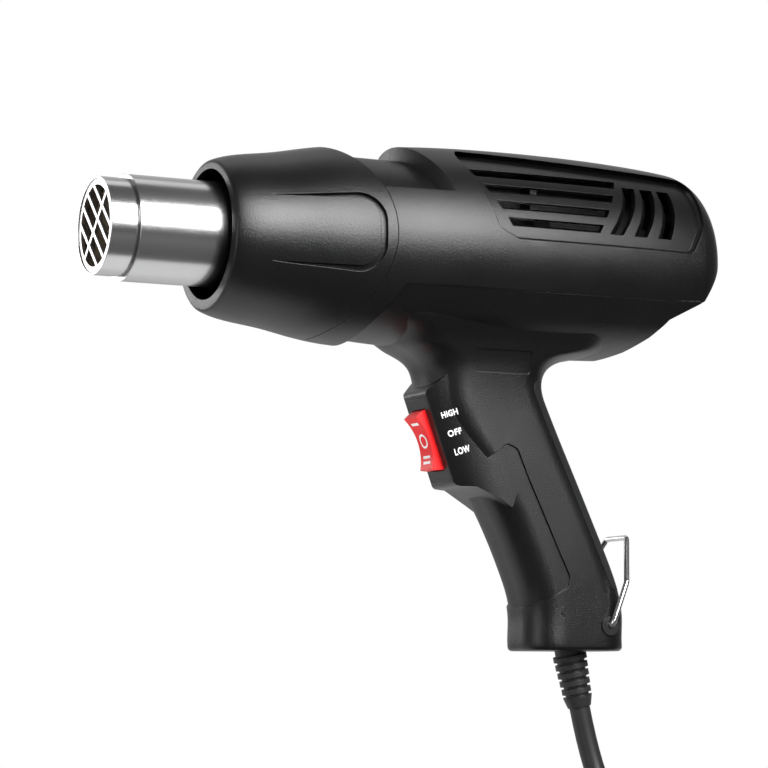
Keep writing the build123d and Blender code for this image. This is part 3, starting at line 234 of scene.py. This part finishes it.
rays = wn.new("ShaderNodeLightPath")
seen_straight = wn.new("ShaderNodeMath")
seen_straight.operation = "MAXIMUM"
wl.new(rays.outputs["Is Camera Ray"], seen_straight.inputs[0])
wl.new(rays.outputs["Is Transmission Ray"], seen_straight.inputs[1])
way_out = wn.new("ShaderNodeTexCoord")
way_parts = wn.new("ShaderNodeSeparateXYZ")
wl.new(way_out.outputs["Generated"], way_parts.inputs[0])
mirror_level = wn.new("ShaderNodeMapRange")
mirror_level.interpolation_type = "SMOOTHSTEP"
mirror_level.inputs["From Min"].default_value = MIRROR_FROM
mirror_level.inputs["From Max"].default_value = MIRROR_TO
mirror_level.inputs["To Min"].default_value = MIRROR_DIM
mirror_level.inputs["To Max"].default_value = MIRROR_WHITE
wl.new(way_parts.outputs["Y"], mirror_level.inputs["Value"])
mirrored = plain_background(1.0)
wl.new(mirror_level.outputs["Result"], mirrored.inputs["Strength"])
lit = mixed(rays.outputs["Is Glossy Ray"], plain_background(WORLD_LEVEL), mirrored)
surround = mixed(seen_straight.outputs[0], lit, plain_background(1.0))
world_out = wn.new("ShaderNodeOutputWorld")
wl.new(surround.outputs[0], world_out.inputs["Surface"])
bpy.context.scene.view_settings.view_transform = "Standard"
print("world nodes:", len(wn))

# %% [markdown]
# The floor and the studio's other sheets are flat cards. A card could be a plane that is moved and
# turned as an object. Here its turn goes into its mesh, as for every piece, and the same short
# function makes each card face a point. The floor has a plain pale colour and keeps the tool's
# shadow, and a little glow that only the camera sees keeps it pale far away too.

# %% Cards and the floor
CARD_ROUGHNESS = 0.9
FLOOR_DROP = 0.01
FLOOR_SIZE = 8.0
FLOOR_COLOUR = (0.86, 0.86, 0.86)
FLOOR_SEEN_LEVEL = 0.5


def stage_card(name, size_x, size_y, location, aim, colour, level=0.0):
    """A flat card of the studio that faces a point, and isn't part of the tool."""
    bm = bmesh.new()
    bmesh.ops.create_grid(bm, x_segments=1, y_segments=1, size=0.5)
    bmesh.ops.scale(bm, vec=(size_x, size_y, 1), verts=bm.verts)
    turn = (Vector(aim) - Vector(location)).to_track_quat("Z", "Y").to_matrix().to_4x4()
    bmesh.ops.transform(bm, matrix=Matrix.Translation(Vector(location)) @ turn, verts=bm.verts)
    mesh = bpy.data.meshes.new(name)
    bm.to_mesh(mesh)
    bm.free()
    card = bpy.data.objects.new(name, mesh)
    bpy.context.scene.collection.objects.link(card)
    finish_of = bpy.data.materials.new(name)
    finish_of.use_nodes = True
    shader = finish_of.node_tree.nodes["Principled BSDF"]
    shader.inputs["Base Color"].default_value = (*colour, 1)
    shader.inputs["Roughness"].default_value = CARD_ROUGHNESS
    shader.inputs["Specular IOR Level"].default_value = 0.0
    shader.inputs["Emission Color"].default_value = (*colour, 1)
    shader.inputs["Emission Strength"].default_value = level
    mesh.materials.append(finish_of)
    return card


floor_z = cad_low.z - FLOOR_DROP
floor = stage_card("floor", FLOOR_SIZE, FLOOR_SIZE, (0, 0, floor_z), (0, 0, floor_z + 1), FLOOR_COLOUR)
floor_tree = floor.data.materials[0].node_tree
floor_rays = floor_tree.nodes.new("ShaderNodeLightPath")
floor_level = floor_tree.nodes.new("ShaderNodeMath")
floor_level.operation = "MULTIPLY"
floor_level.inputs[1].default_value = FLOOR_SEEN_LEVEL
floor_tree.links.new(floor_rays.outputs["Is Camera Ray"], floor_level.inputs[0])
floor_tree.links.new(floor_level.outputs[0], floor_tree.nodes["Principled BSDF"].inputs["Emission Strength"])
print("floor at", round(floor_z, 3))

# %% [markdown]
# Lights. Dark plastic shows its form by what it mirrors, so the lamps are large soft boxes.
# The main one stands close in front, a little above the barrel. It draws the long band along the
# barrel's side, and being close it leaves the handle below in the dark. One fills from the
# nozzle's side, one above draws the top edges, and one behind catches the shroud's open rim.

# %% Lamps
AIM = Vector((-0.06, 0.0, 0.06))
LAMPS = [("front_box", (0.14, -0.91, 0.45), 0.95, 0.66, 0.62, 19),
         ("nozzle_box", (-0.95, -0.30, 0.10), 1.5, 0.7, 0.9, 4.5),
         ("top_box", (0.1, 0.45, 1.0), 1.5, 1.6, 0.5, 2),
         ("rim_box", (-0.44, 0.88, 0.17), 1.5, 0.5, 0.35, 2.2)]


def soft_box(name, direction, distance, width, height, watts):
    """A rectangular lamp at a distance from the tool's middle, turned to face it."""
    lamp = bpy.data.lights.new(name, "AREA")
    lamp.shape = "RECTANGLE"
    lamp.size = width
    lamp.size_y = height
    lamp.energy = watts
    box = bpy.data.objects.new(name, lamp)
    bpy.context.scene.collection.objects.link(box)
    way = Vector(direction).normalized()
    box.location = AIM + way * distance
    box.rotation_euler = (-way).to_track_quat("-Z", "Y").to_euler()
    return box


for name, direction, distance, width, height, watts in LAMPS:
    soft_box(name, direction, distance, width, height, watts)
print("lamps:", len(LAMPS))

# %% [markdown]
# Two more cards exist for shiny surfaces alone, as a photographer's black and white boards do.
# A dark sheet on the floor hides its brightness from the steel and the plastic, and a small pale
# card under the nozzle gives the lower half of the steel its second bright band.

# %% Cards that only reflections see
SHEET_START = 0.1
SHEET_SIZE = 4.0
SHEET_LIFT = 2.0 * MM
SHEET_COLOUR = (0.08, 0.08, 0.08)
STEEL_CARD_SIZE = (75.0 * MM, 60.0 * MM)
STEEL_CARD_PLACE = place(40.5, 5.0, -72.0)
STEEL_CARD_AIM = place(40.5, 5.0, 0.0)
STEEL_CARD_COLOUR = (0.6, 0.6, 0.6)
STEEL_CARD_LEVEL = 0.45


def mirrored_only(card):
    """A card that shiny surfaces see, and that neither hides, lights nor shades anything."""
    card.visible_camera = False
    card.visible_shadow = False
    card.visible_diffuse = False
    card.visible_transmission = False
    return card


sheet_middle = SHEET_START - SHEET_SIZE / 2
dark_sheet = stage_card("dark_sheet", FLOOR_SIZE, SHEET_SIZE, (0, sheet_middle, floor_z + SHEET_LIFT),
                        (0, sheet_middle, floor_z + 1), SHEET_COLOUR)
steel_card = stage_card("steel_card", *STEEL_CARD_SIZE, STEEL_CARD_PLACE, STEEL_CARD_AIM,
                        STEEL_CARD_COLOUR, level=STEEL_CARD_LEVEL)
for card in (dark_sheet, steel_card):
    mirrored_only(card)
print("cards for reflections:", dark_sheet.name, steel_card.name)

# %% [markdown]
# Finishes share two small tools, each a node group with named sockets. A group is built once and
# placed in each material with that material's own values. It reads Object coordinates, so its
# pattern stays put on each piece. These two helpers make an empty group and a noise inside it.

# %% Helpers for node groups

def new_group(name, inputs, outputs):
    """An empty shader node group with named sockets, and its two end nodes."""
    group = bpy.data.node_groups.new(name, "ShaderNodeTree")
    for label, kind, value in inputs:
        socket = group.interface.new_socket(label, in_out="INPUT", socket_type=kind)
        if value is not None:
            socket.default_value = value
    for label, kind in outputs:
        group.interface.new_socket(label, in_out="OUTPUT", socket_type=kind)
    return group, group.nodes.new("NodeGroupInput"), group.nodes.new("NodeGroupOutput")


def noise_at(group, vector, scale, detail, roughness):
    """A noise in a group, at a scale that is a number or another socket."""
    node = group.nodes.new("ShaderNodeTexNoise")
    node.inputs["Detail"].default_value = detail
    node.inputs["Roughness"].default_value = roughness
    if isinstance(scale, (int, float)):
        node.inputs["Scale"].default_value = scale
    else:
        group.links.new(scale, node.inputs["Scale"])
    group.links.new(vector, node.inputs["Vector"])
    return node


# %% [markdown]
# The first group is the surface itself. Fine grain is the texture that a spark-eroded mould leaves
# on plastic: bumps a few tenths of a millimetre wide. Handling marks are wide, faint changes of
# roughness. No moulded or turned edge is quite sharp, so the group also rounds the normal within a
# few tenths of a millimetre of an edge, and light catches there as a thin line. All of it could be
# cut into the mesh, but bumps this small are cheaper and no less true in the shader.

# %% Grain, soft edges and handling marks
GRAIN_DETAIL = 1.0
GRAIN_ROUGHNESS = 0.5
EDGE_SAMPLES = 4
MARKS_SCALE = 24.0
MARKS_DETAIL = 4.0
CLOUD_ROUGHNESS = 0.55
MARKS_LOW = 0.3
MARKS_HIGH = 0.7


def build_grain_group():
    """Normal and roughness of a fine grain, softly rounded edges and wider handling marks."""
    group, start, end = new_group(
        "moulded_grain",
        [("Vector", "NodeSocketVector", None), ("Grain Scale", "NodeSocketFloat", 1700.0),
         ("Grain Depth", "NodeSocketFloat", 0.00002), ("Roughness", "NodeSocketFloat", 0.45),
         ("Marks", "NodeSocketFloat", 0.05), ("Edge Radius", "NodeSocketFloat", 0.0004)],
        [("Normal", "NodeSocketVector"), ("Roughness", "NodeSocketFloat")])
    fine = noise_at(group, start.outputs["Vector"], start.outputs["Grain Scale"], GRAIN_DETAIL,
                    GRAIN_ROUGHNESS)
    soft_edge = group.nodes.new("ShaderNodeBevel")
    soft_edge.samples = EDGE_SAMPLES
    group.links.new(start.outputs["Edge Radius"], soft_edge.inputs["Radius"])
    bump = group.nodes.new("ShaderNodeBump")
    group.links.new(soft_edge.outputs["Normal"], bump.inputs["Normal"])
    bump.inputs["Strength"].default_value = 1.0
    group.links.new(start.outputs["Grain Depth"], bump.inputs["Distance"])
    group.links.new(fine.outputs["Fac"], bump.inputs["Height"])
    group.links.new(bump.outputs["Normal"], end.inputs["Normal"])
    wide = noise_at(group, start.outputs["Vector"], MARKS_SCALE, MARKS_DETAIL, CLOUD_ROUGHNESS)
    spread = group.nodes.new("ShaderNodeMapRange")
    spread.inputs["From Min"].default_value = MARKS_LOW
    spread.inputs["From Max"].default_value = MARKS_HIGH
    spread.inputs["To Min"].default_value = -1.0
    spread.inputs["To Max"].default_value = 1.0
    group.links.new(wide.outputs["Fac"], spread.inputs["Value"])
    amount = group.nodes.new("ShaderNodeMath")
    amount.operation = "MULTIPLY_ADD"
    group.links.new(spread.outputs["Result"], amount.inputs[0])
    group.links.new(start.outputs["Marks"], amount.inputs[1])
    group.links.new(start.outputs["Roughness"], amount.inputs[2])
    group.links.new(amount.outputs[0], end.inputs["Roughness"])
    return group


grain_group = build_grain_group()
print("node group:", grain_group.name)

# %% [markdown]
# The second group is the colour. Pigment and plating are never one flat colour, so a soft cloud
# leans the finish's colour a little towards a second one.

# %% Uneven colour
TINT_DETAIL = 5.0


def build_tint_group():
    """A colour with a faint uneven tint, as real pigments and plated metals have."""
    group, start, end = new_group(
        "uneven_tint",
        [("Vector", "NodeSocketVector", None), ("Colour", "NodeSocketColor", (0.5, 0.5, 0.5, 1)),
         ("Tint", "NodeSocketColor", (0.5, 0.5, 0.5, 1)), ("Scale", "NodeSocketFloat", 30.0),
         ("Amount", "NodeSocketFloat", 0.3)],
        [("Colour", "NodeSocketColor")])
    cloud = noise_at(group, start.outputs["Vector"], start.outputs["Scale"], TINT_DETAIL, CLOUD_ROUGHNESS)
    share = group.nodes.new("ShaderNodeMath")
    share.operation = "MULTIPLY"
    group.links.new(cloud.outputs["Fac"], share.inputs[0])
    group.links.new(start.outputs["Amount"], share.inputs[1])
    blend = group.nodes.new("ShaderNodeMix")
    blend.data_type = "RGBA"
    group.links.new(share.outputs[0], blend.inputs["Factor"])
    group.links.new(start.outputs["Colour"], blend.inputs["A"])
    group.links.new(start.outputs["Tint"], blend.inputs["B"])
    group.links.new(blend.outputs["Result"], end.inputs["Colour"])
    return group


tint_group = build_tint_group()
print("node group:", tint_group.name)

# %% [markdown]
# A finish is one short call on top of those groups. Each could be a material built by hand, but
# they differ in few values: two colours, gloss, grain and metal. What is the same all over a
# surface is set on the shader's own sockets.

# %% How a finish is made
finishes = {}


def finish_in(slot, colour, tint, roughness, metallic=0.0, grain=0.00002, grain_scale=1700.0,
              marks=0.05, specular=0.5, tint_scale=30.0, tint_amount=0.4, edge=0.0004):
    """A finish named after its slot: an uneven colour with grained, slightly marked gloss."""
    material = bpy.data.materials.new(slot)
    material.use_nodes = True
    nodes, links = material.node_tree.nodes, material.node_tree.links
    shader = nodes["Principled BSDF"]
    where = nodes.new("ShaderNodeTexCoord")
    grain_node = nodes.new("ShaderNodeGroup")
    grain_node.node_tree = grain_group
    grain_node.inputs["Grain Scale"].default_value = grain_scale
    grain_node.inputs["Grain Depth"].default_value = grain
    grain_node.inputs["Roughness"].default_value = roughness
    grain_node.inputs["Marks"].default_value = marks
    grain_node.inputs["Edge Radius"].default_value = edge
    tint_node = nodes.new("ShaderNodeGroup")
    tint_node.node_tree = tint_group
    tint_node.inputs["Colour"].default_value = (*colour, 1)
    tint_node.inputs["Tint"].default_value = (*tint, 1)
    tint_node.inputs["Scale"].default_value = tint_scale
    tint_node.inputs["Amount"].default_value = tint_amount
    links.new(where.outputs["Object"], grain_node.inputs["Vector"])
    links.new(where.outputs["Object"], tint_node.inputs["Vector"])
    links.new(tint_node.outputs["Colour"], shader.inputs["Base Color"])
    links.new(grain_node.outputs["Roughness"], shader.inputs["Roughness"])
    links.new(grain_node.outputs["Normal"], shader.inputs["Normal"])
    shader.inputs["Metallic"].default_value = metallic
    shader.inputs["Specular IOR Level"].default_value = specular
    finishes[slot] = material
    return material


# %% [markdown]
# The plastics. The body is black with a satin grain and the grip strip a softer rubber. The switch
# is a smoother black and its rocker a bright red. The cord is smooth, and its tie a dull strap.

# %% Plastics and rubbers
finish_in("body_black", (0.0016, 0.0016, 0.0018), (0.0036, 0.0036, 0.004), 0.33, grain=0.00008,
          grain_scale=2700.0, specular=0.5)
finish_in("grip_rubber", (0.008, 0.008, 0.0085), (0.015, 0.015, 0.016), 0.55, grain=0.00001, specular=0.35)
finish_in("switch_black", (0.01, 0.01, 0.011), (0.016, 0.016, 0.017), 0.32, grain=0.000002, specular=0.4)
finish_in("rocker_red", (0.78, 0.012, 0.014), (0.64, 0.01, 0.012), 0.4, grain=0.000001, marks=0.03,
          specular=0.25)
finish_in("cord_black", (0.014, 0.014, 0.015), (0.022, 0.022, 0.023), 0.4, grain=0.000003, specular=0.4)
finish_in("tie_black", (0.02, 0.02, 0.021), (0.035, 0.035, 0.036), 0.7, grain=0.00004, grain_scale=2600.0)
finish_in("inner_plastic", (0.02, 0.02, 0.022), (0.035, 0.033, 0.03), 0.55)
finish_in("component_black", (0.015, 0.015, 0.015), (0.03, 0.03, 0.03), 0.3)
finish_in("component_blue", (0.02, 0.08, 0.3), (0.03, 0.1, 0.34), 0.25)
print("finishes so far:", len(finishes))

# %% [markdown]
# The metals and the heater's materials. The nozzle's tube and sleeve are bare steel with a slightly
# wider rounding at their edges. The bail is bright wire too thin for any rounding.

# %% Metals, mica and the board
finish_in("bright_steel", (0.6, 0.6, 0.605), (0.54, 0.54, 0.55), 0.2, metallic=1.0, grain=0.0, marks=0.02,
          edge=0.0006)
finish_in("brushed_sleeve", (0.58, 0.58, 0.585), (0.52, 0.52, 0.53), 0.22, metallic=1.0, grain=0.0,
          marks=0.02, edge=0.0006)
finish_in("grille_steel", (0.74, 0.73, 0.72), (0.62, 0.61, 0.6), 0.3, metallic=1.0, grain=0.0)
finish_in("zinc", (0.5, 0.5, 0.49), (0.42, 0.43, 0.44), 0.35, metallic=1.0, grain=0.000003)
finish_in("screw_steel", (0.2, 0.2, 0.21), (0.12, 0.12, 0.12), 0.35, metallic=1.0, grain=0.0)
finish_in("bail_chrome", (0.8, 0.8, 0.81), (0.7, 0.7, 0.71), 0.2, metallic=1.0, grain=0.0, marks=0.02,
          edge=0.0)
finish_in("brass", (0.72, 0.55, 0.25), (0.6, 0.42, 0.18), 0.28, metallic=1.0, grain=0.0)
finish_in("heating_wire", (0.2, 0.18, 0.17), (0.12, 0.1, 0.09), 0.4, metallic=1.0, grain=0.0)
finish_in("mica", (0.28, 0.22, 0.15), (0.38, 0.32, 0.24), 0.4, grain=0.00001)
finish_in("magnet", (0.03, 0.03, 0.032), (0.05, 0.05, 0.05), 0.6)
finish_in("board", (0.3, 0.17, 0.06), (0.22, 0.12, 0.05), 0.5)
print("finishes:", len(finishes))

# %% [markdown]
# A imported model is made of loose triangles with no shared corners, so a lamp shows every facet.
# A copy whose doubled corners are merged can be shaded smooth, and the choice of the edges that
# stay sharp decides how the form reads. On large mouldings the limit is small: the facets of a
# narrow rounding keep their own normals and don't bend the shading of the wide face next to them,
# and the finish's rounding softens them. Two wide faces that meet are blended up to a larger
# angle, because they are one curved surface. Slim turned pieces get that angle everywhere, and
# bent wire, whose section has few sides, gets a larger one still.

# %% Which edges stay sharp
SHARP_ANGLE = 10.0
ROUND_ANGLE = 34.0
WIRE_ANGLE = 50.0
WIDE_FACE = 8.0 * MM * MM
ROUND_NODES = ["strain_relief", "plug_body", "cord_tie", "housing_screws", "bail_bushings", "outlet_grille"]


def sharp_angle(node):
    """The turn, in degrees, past which an edge of a node stays sharp."""
    if node == "wire_bail":
        return WIRE_ANGLE
    return ROUND_ANGLE if node in ROUND_NODES else SHARP_ANGLE


def crease(bm, sharp):
    """Keeps an edge sharp past a set angle, and past a larger one between two wide faces."""
    for edge in bm.edges:
        if len(edge.link_faces) != 2:
            continue
        wide = min(face.calc_area() for face in edge.link_faces) > WIDE_FACE
        limit = max(sharp, ROUND_ANGLE) if wide or edge.tag else sharp
        edge.smooth = edge.calc_face_angle(0.0) <= math.radians(limit)


# %% [markdown]
# The cord clamp stands on two posts inside the handle. Their ends come through its outer wall by a
# tenth of a millimetre, and light finds each as a dent. Smoothing them only spreads the dent, so
# the copy's faces there are cut away, and the hole that is left is closed in one piece.

# %% Two post ends in the handle's wall
POST_MARKS = {"housing_left": [place(176.8, 0, -130.15), place(190.4, 0, -130.15)]}
MARK_RADIUS = 2.46 * MM
MARK_SKIN_Y = -15.0 * MM


def close_marks(bm, spots):
    """Cuts away the ends of two hidden posts, a tenth of a millimetre proud, and closes the wall."""
    for spot in spots:
        near = {v for v in bm.verts if v.co.y < MARK_SKIN_Y
                and math.hypot(v.co.x - spot.x, v.co.z - spot.z) < MARK_RADIUS}
        proud = [face for face in bm.faces if all(v in near for v in face.verts)]
        bmesh.ops.delete(bm, geom=proud, context="FACES")
        rims = [edge for edge in bm.edges if edge.is_boundary and all(v in near for v in edge.verts)]
        closed = bmesh.ops.holes_fill(bm, edges=rims, sides=0)["faces"]
        bmesh.ops.triangulate(bm, faces=closed)
        print("post mark: faces cut", len(proud), "closed with", len(closed))
        for edge in {edge for face in closed if face.is_valid for edge in face.edges}:
            edge.tag = True


# %% [markdown]
# Each skin is such a copy. It stands for its node and rides on the node's own body. The pieces
# inside the tool are seen only through slots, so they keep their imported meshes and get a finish.

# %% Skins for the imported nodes
MERGE = 0.000002
INSIDE = ["mica_sleeve", "heater_former", "heating_coil", "thermal_cutoff", "heater_terminal_plate",
          "nozzle_mount_ring", "air_duct", "motor_bracket", "motor_can", "motor_magnets", "motor_end_cap",
          "motor_screws", "motor_damper", "rectifier_board", "rectifier_diodes", "suppression_capacitor",
          "switch_terminals", "cord_inlet", "cord_clamp", "cord_clamp_screws", "fan_impeller",
          "motor_shaft", "motor_armature", "motor_commutator"]
CORDS = ["supply_cord", "cord_coil", "cord_tail"]

slot_of = {s["node"]: s["material_slot"] for s in frame["record"]["subparts"]}
body_of = {}
for body, members in frame["record"]["behaviour"]["bodies"].items():
    for member in members:
        body_of[member] = body


def skin(node):
    """A smooth-shaded copy of a node, merged, in its finish, standing for it."""
    mesh = frame["nodes"][node].data.copy()
    mesh.name = node + "_skin"
    bm = bmesh.new()
    bm.from_mesh(mesh)
    bmesh.ops.remove_doubles(bm, verts=bm.verts, dist=MERGE)
    close_marks(bm, POST_MARKS.get(node, []))
    bmesh.ops.dissolve_degenerate(bm, edges=bm.edges, dist=MERGE)
    for face in bm.faces:
        face.smooth = True
    crease(bm, sharp_angle(node))
    bm.to_mesh(mesh)
    bm.free()
    mesh.materials.clear()
    mesh.materials.append(finishes[slot_of[node]])
    piece = bpy.data.objects.new(node + "_skin", mesh)
    bpy.context.scene.collection.objects.link(piece)
    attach(piece, body_of[node])
    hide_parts(node)
    return piece


skins = {}
for node in frame["nodes"]:
    if node in INSIDE:
        frame["nodes"][node].data.materials.clear()
        frame["nodes"][node].data.materials.append(finishes[slot_of[node]])
    elif node not in CORDS:
        skins[node] = skin(node)
print("skins:", len(skins), "triangles:", sum(len(p.data.polygons) for p in skins.values()))

# %% [markdown]
# The cord gets its finish last of its own pieces, once its plug and tie have their skins. Its exit is
# where it leaves the strain relief, and its length is the whole lead's, coil and all. It rides on the
# tool's root body, and the imported cord pieces are hidden.

cord_curve.materials.append(finishes["cord_black"])
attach(mains_cord, "root")
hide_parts(*CORDS)

# %% [markdown]
# Lettering. The words beside the switch are printed on a slanting, curved wall. Each is set flat,
# made a mesh, fitted to its own width and height, cut into small faces, and each of its corners is
# then dropped straight onto the wall. So the print follows the form, and it stands a few
# hundredths of a millimetre proud of the plastic. An image could do it too, but it would not stay
# sharp, and the meshes are a result of their own. First come the tools that drop and cut a print.

# %% Dropping a flat print on a wall
PRINT_PROUD = 0.04 * MM
PRINT_STEP = 0.6 * MM
finish_in("print_white", (0.86, 0.86, 0.86), (0.78, 0.78, 0.78), 0.5, grain=0.000001, edge=0.0)


def mesh_tree(mesh):
    """A search tree of a mesh, for casting rays at it."""
    return BVHTree.FromPolygons([v.co for v in mesh.vertices], [p.vertices for p in mesh.polygons])


def drop_on(piece, target, way):
    """Moves each corner of a flat piece along a direction until it meets the target's mesh."""
    tree = mesh_tree(target.data)
    missed = 0
    for vertex in piece.data.vertices:
        hit = tree.ray_cast(vertex.co, way)[0]
        if hit is None:
            missed += 1
            continue
        vertex.co = hit - way * PRINT_PROUD
    print(piece.name, "corners dropped:", len(piece.data.vertices) - missed, "missed:", missed)


def cut_small(mesh):
    """Cuts a flat mesh until no edge is longer than one step of the print."""
    bm = bmesh.new()
    bm.from_mesh(mesh)
    bmesh.ops.triangulate(bm, faces=bm.faces)
    long_edges = [edge for edge in bm.edges if edge.calc_length() > PRINT_STEP]
    while long_edges:
        bmesh.ops.subdivide_edges(bm, edges=long_edges, cuts=1)
        bmesh.ops.triangulate(bm, faces=bm.faces)
        long_edges = [edge for edge in bm.edges if edge.calc_length() > PRINT_STEP]
    bm.to_mesh(mesh)
    bm.free()


def print_on(name, flat, middle, right, up, target, way, body):
    """A flat mesh set at a place, dropped on a piece as print, and riding on its body."""
    turn = Matrix((right, up, right.cross(up))).transposed().to_4x4()
    flat.transform(Matrix.Translation(middle) @ turn)
    cut_small(flat)
    flat.materials.clear()
    flat.materials.append(finishes["print_white"])
    piece = bpy.data.objects.new(name, flat)
    bpy.context.scene.collection.objects.link(piece)
    drop_on(piece, target, way)
    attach(piece, body)
    return piece


# %% [markdown]
# The words themselves are plain block letters for the switch's three places. They slope with the
# switch. A text object is made a mesh first, and its size is then measured and fitted.

# %% The words beside the switch
LETTER_WEIGHT = 0.03
LETTER_SPACING = 1.12
LETTER_SMOOTHNESS = 6
WORD_START_Y = -40.0
WORD_SLOPE = math.radians(18.0)
WORDS = [("HIGH", 130.8, -59.8, 5.2, 2.3), ("OFF", 133.0, -66.5, 4.5, 2.3), ("LOW", 135.9, -72.8, 5.1, 2.5)]
word_right = Vector((math.cos(WORD_SLOPE), 0, math.sin(WORD_SLOPE)))
word_up = Vector((-math.sin(WORD_SLOPE), 0, math.cos(WORD_SLOPE)))


def flat_word(text, width, height):
    """A word as a flat mesh round its own middle, fitted to a width and a height."""
    letters = bpy.data.curves.new("letters", "FONT")
    letters.body = text
    letters.size = height
    letters.resolution_u = LETTER_SMOOTHNESS
    letters.offset = height * LETTER_WEIGHT
    letters.space_character = LETTER_SPACING
    holder = bpy.data.objects.new("letters", letters)
    bpy.context.scene.collection.objects.link(holder)
    bpy.context.view_layer.update()
    flat = bpy.data.meshes.new_from_object(holder)
    bpy.data.objects.remove(holder)
    low = Vector((min(v.co.x for v in flat.vertices), min(v.co.y for v in flat.vertices), 0))
    high = Vector((max(v.co.x for v in flat.vertices), max(v.co.y for v in flat.vertices), 0))
    size = high - low
    fit = Matrix.Diagonal((width / size.x, height / size.y, 1, 1))
    flat.transform(fit @ Matrix.Translation(-(low + high) / 2))
    return flat


for text, x, z, width, height in WORDS:
    flat = flat_word(text, width * MM, height * MM)
    print_on("word_" + text.lower(), flat, place(x, WORD_START_Y, z), word_right, word_up,
             skins["housing_left"], Vector((0, 1, 0)), "root")

# %% [markdown]
# The rocker carries a bar, a ring and two bars, the plain signs for its three places. They start
# as circles and grids, are dropped straight into its dished face, and tilt with it.

# %% Signs on the rocker
BOSS_X = 128.5
BOSS_Z = -68.7
BOSS_TILT = math.radians(19.8)
SIGN_START = 30.0 * MM
SIGN_BAR = 5.2 * MM
SINGLE_BAR_WIDTH = 1.0 * MM
DOUBLE_BAR_WIDTH = 0.9 * MM
DOUBLE_BAR_UP = 0.95 * MM
SIGN_RING_R = 2.7 * MM
SIGN_RING_HOLE_R = 1.9 * MM
RING_SIDES = 48
BAR_CUTS = 8


def flat_ring(outer_r, inner_r):
    """A flat ring round its own middle."""
    bm = bmesh.new()
    outer = bmesh.ops.create_circle(bm, segments=RING_SIDES, radius=outer_r)["verts"]
    inner = bmesh.ops.create_circle(bm, segments=RING_SIDES, radius=inner_r)["verts"]
    rims = {edge for vertex in outer + inner for edge in vertex.link_edges}
    bmesh.ops.bridge_loops(bm, edges=list(rims))
    mesh = bpy.data.meshes.new("ring_mark")
    bm.to_mesh(mesh)
    bm.free()
    return mesh


def flat_bars(length, width, ups):
    """One bar, or two, lying across the rocker's middle at given heights."""
    bm = bmesh.new()
    for up in ups:
        bar = bmesh.ops.create_grid(bm, x_segments=BAR_CUTS, y_segments=1, size=0.5)["verts"]
        bmesh.ops.scale(bm, vec=(length, width, 1), verts=bar)
        bmesh.ops.translate(bm, vec=(0, up, 0), verts=bar)
    mesh = bpy.data.meshes.new("bar_mark")
    bm.to_mesh(mesh)
    bm.free()
    return mesh


boss_down = Vector((math.sin(BOSS_TILT), 0, -math.cos(BOSS_TILT)))
boss_inward = Vector((math.cos(BOSS_TILT), 0, math.sin(BOSS_TILT)))
signs = [("sign_low", flat_bars(SIGN_BAR, SINGLE_BAR_WIDTH, [0.0]), -7.0),
         ("sign_off", flat_ring(SIGN_RING_R, SIGN_RING_HOLE_R), -0.3),
         ("sign_high", flat_bars(SIGN_BAR, DOUBLE_BAR_WIDTH, [DOUBLE_BAR_UP, -DOUBLE_BAR_UP]), 6.4)]
for name, flat, down in signs:
    middle = place(BOSS_X, 0, BOSS_Z) + boss_down * down * MM - boss_inward * SIGN_START
    print_on(name, flat, middle, Vector((0, -1, 0)), -boss_down, skins["switch_rocker"], boss_inward,
             "rocker")

# %% [markdown]
# Behind the vents the real tool is dark inside. A dark web above the motor is added as painted shade:
# it stands in for that dark and keeps one side's slots from showing the other's. Its upper edge follows
# the ceiling of the housing, found by casting rays upwards from inside, and it is a thin plate extruded from
# that outline.

# %% The web behind the vents
WEB_FRONT = 133.0
WEB_REAR = 233.0
WEB_STEPS = 25
WEB_Y = -0.6
WEB_OVER_MOTOR = 16.0
WEB_MOTOR_END = 176.0
WEB_LOW = -16.0
WEB_WALL = 1.2 * MM
WEB_GAP = 0.2 * MM

shell_tree = mesh_tree(skins["housing_left"].data)
web_top, web_foot = [], []
for i in range(WEB_STEPS + 1):
    x = WEB_FRONT + (WEB_REAR - WEB_FRONT) * i / WEB_STEPS
    ceiling = shell_tree.ray_cast(place(x, WEB_Y, WEB_OVER_MOTOR), UP)[0]
    if ceiling is not None:
        web_top.append(ceiling - UP * WEB_GAP)
        web_foot.append(place(x, WEB_Y, WEB_OVER_MOTOR if x < WEB_MOTOR_END else WEB_LOW))
bm = bmesh.new()
outline = [bm.verts.new(point) for point in web_top + web_foot[::-1]]
plate = bm.faces.new(outline)
pushed = bmesh.ops.extrude_face_region(bm, geom=[plate])
moved = [item for item in pushed["geom"] if isinstance(item, bmesh.types.BMVert)]
bmesh.ops.translate(bm, vec=(0, WEB_WALL, 0), verts=moved)
bmesh.ops.recalc_face_normals(bm, faces=bm.faces)
web_mesh = bpy.data.meshes.new("vent_shade_web")
bm.to_mesh(web_mesh)
bm.free()
# The web's dark finish is painted shade behind the slots.
web_mesh.materials.append(finishes["inner_plastic"])
vent_shade_web = bpy.data.objects.new("vent_shade_web", web_mesh)
bpy.context.scene.collection.objects.link(vent_shade_web)
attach(vent_shade_web, "root")
print("web corners:", len(web_top) + len(web_foot))
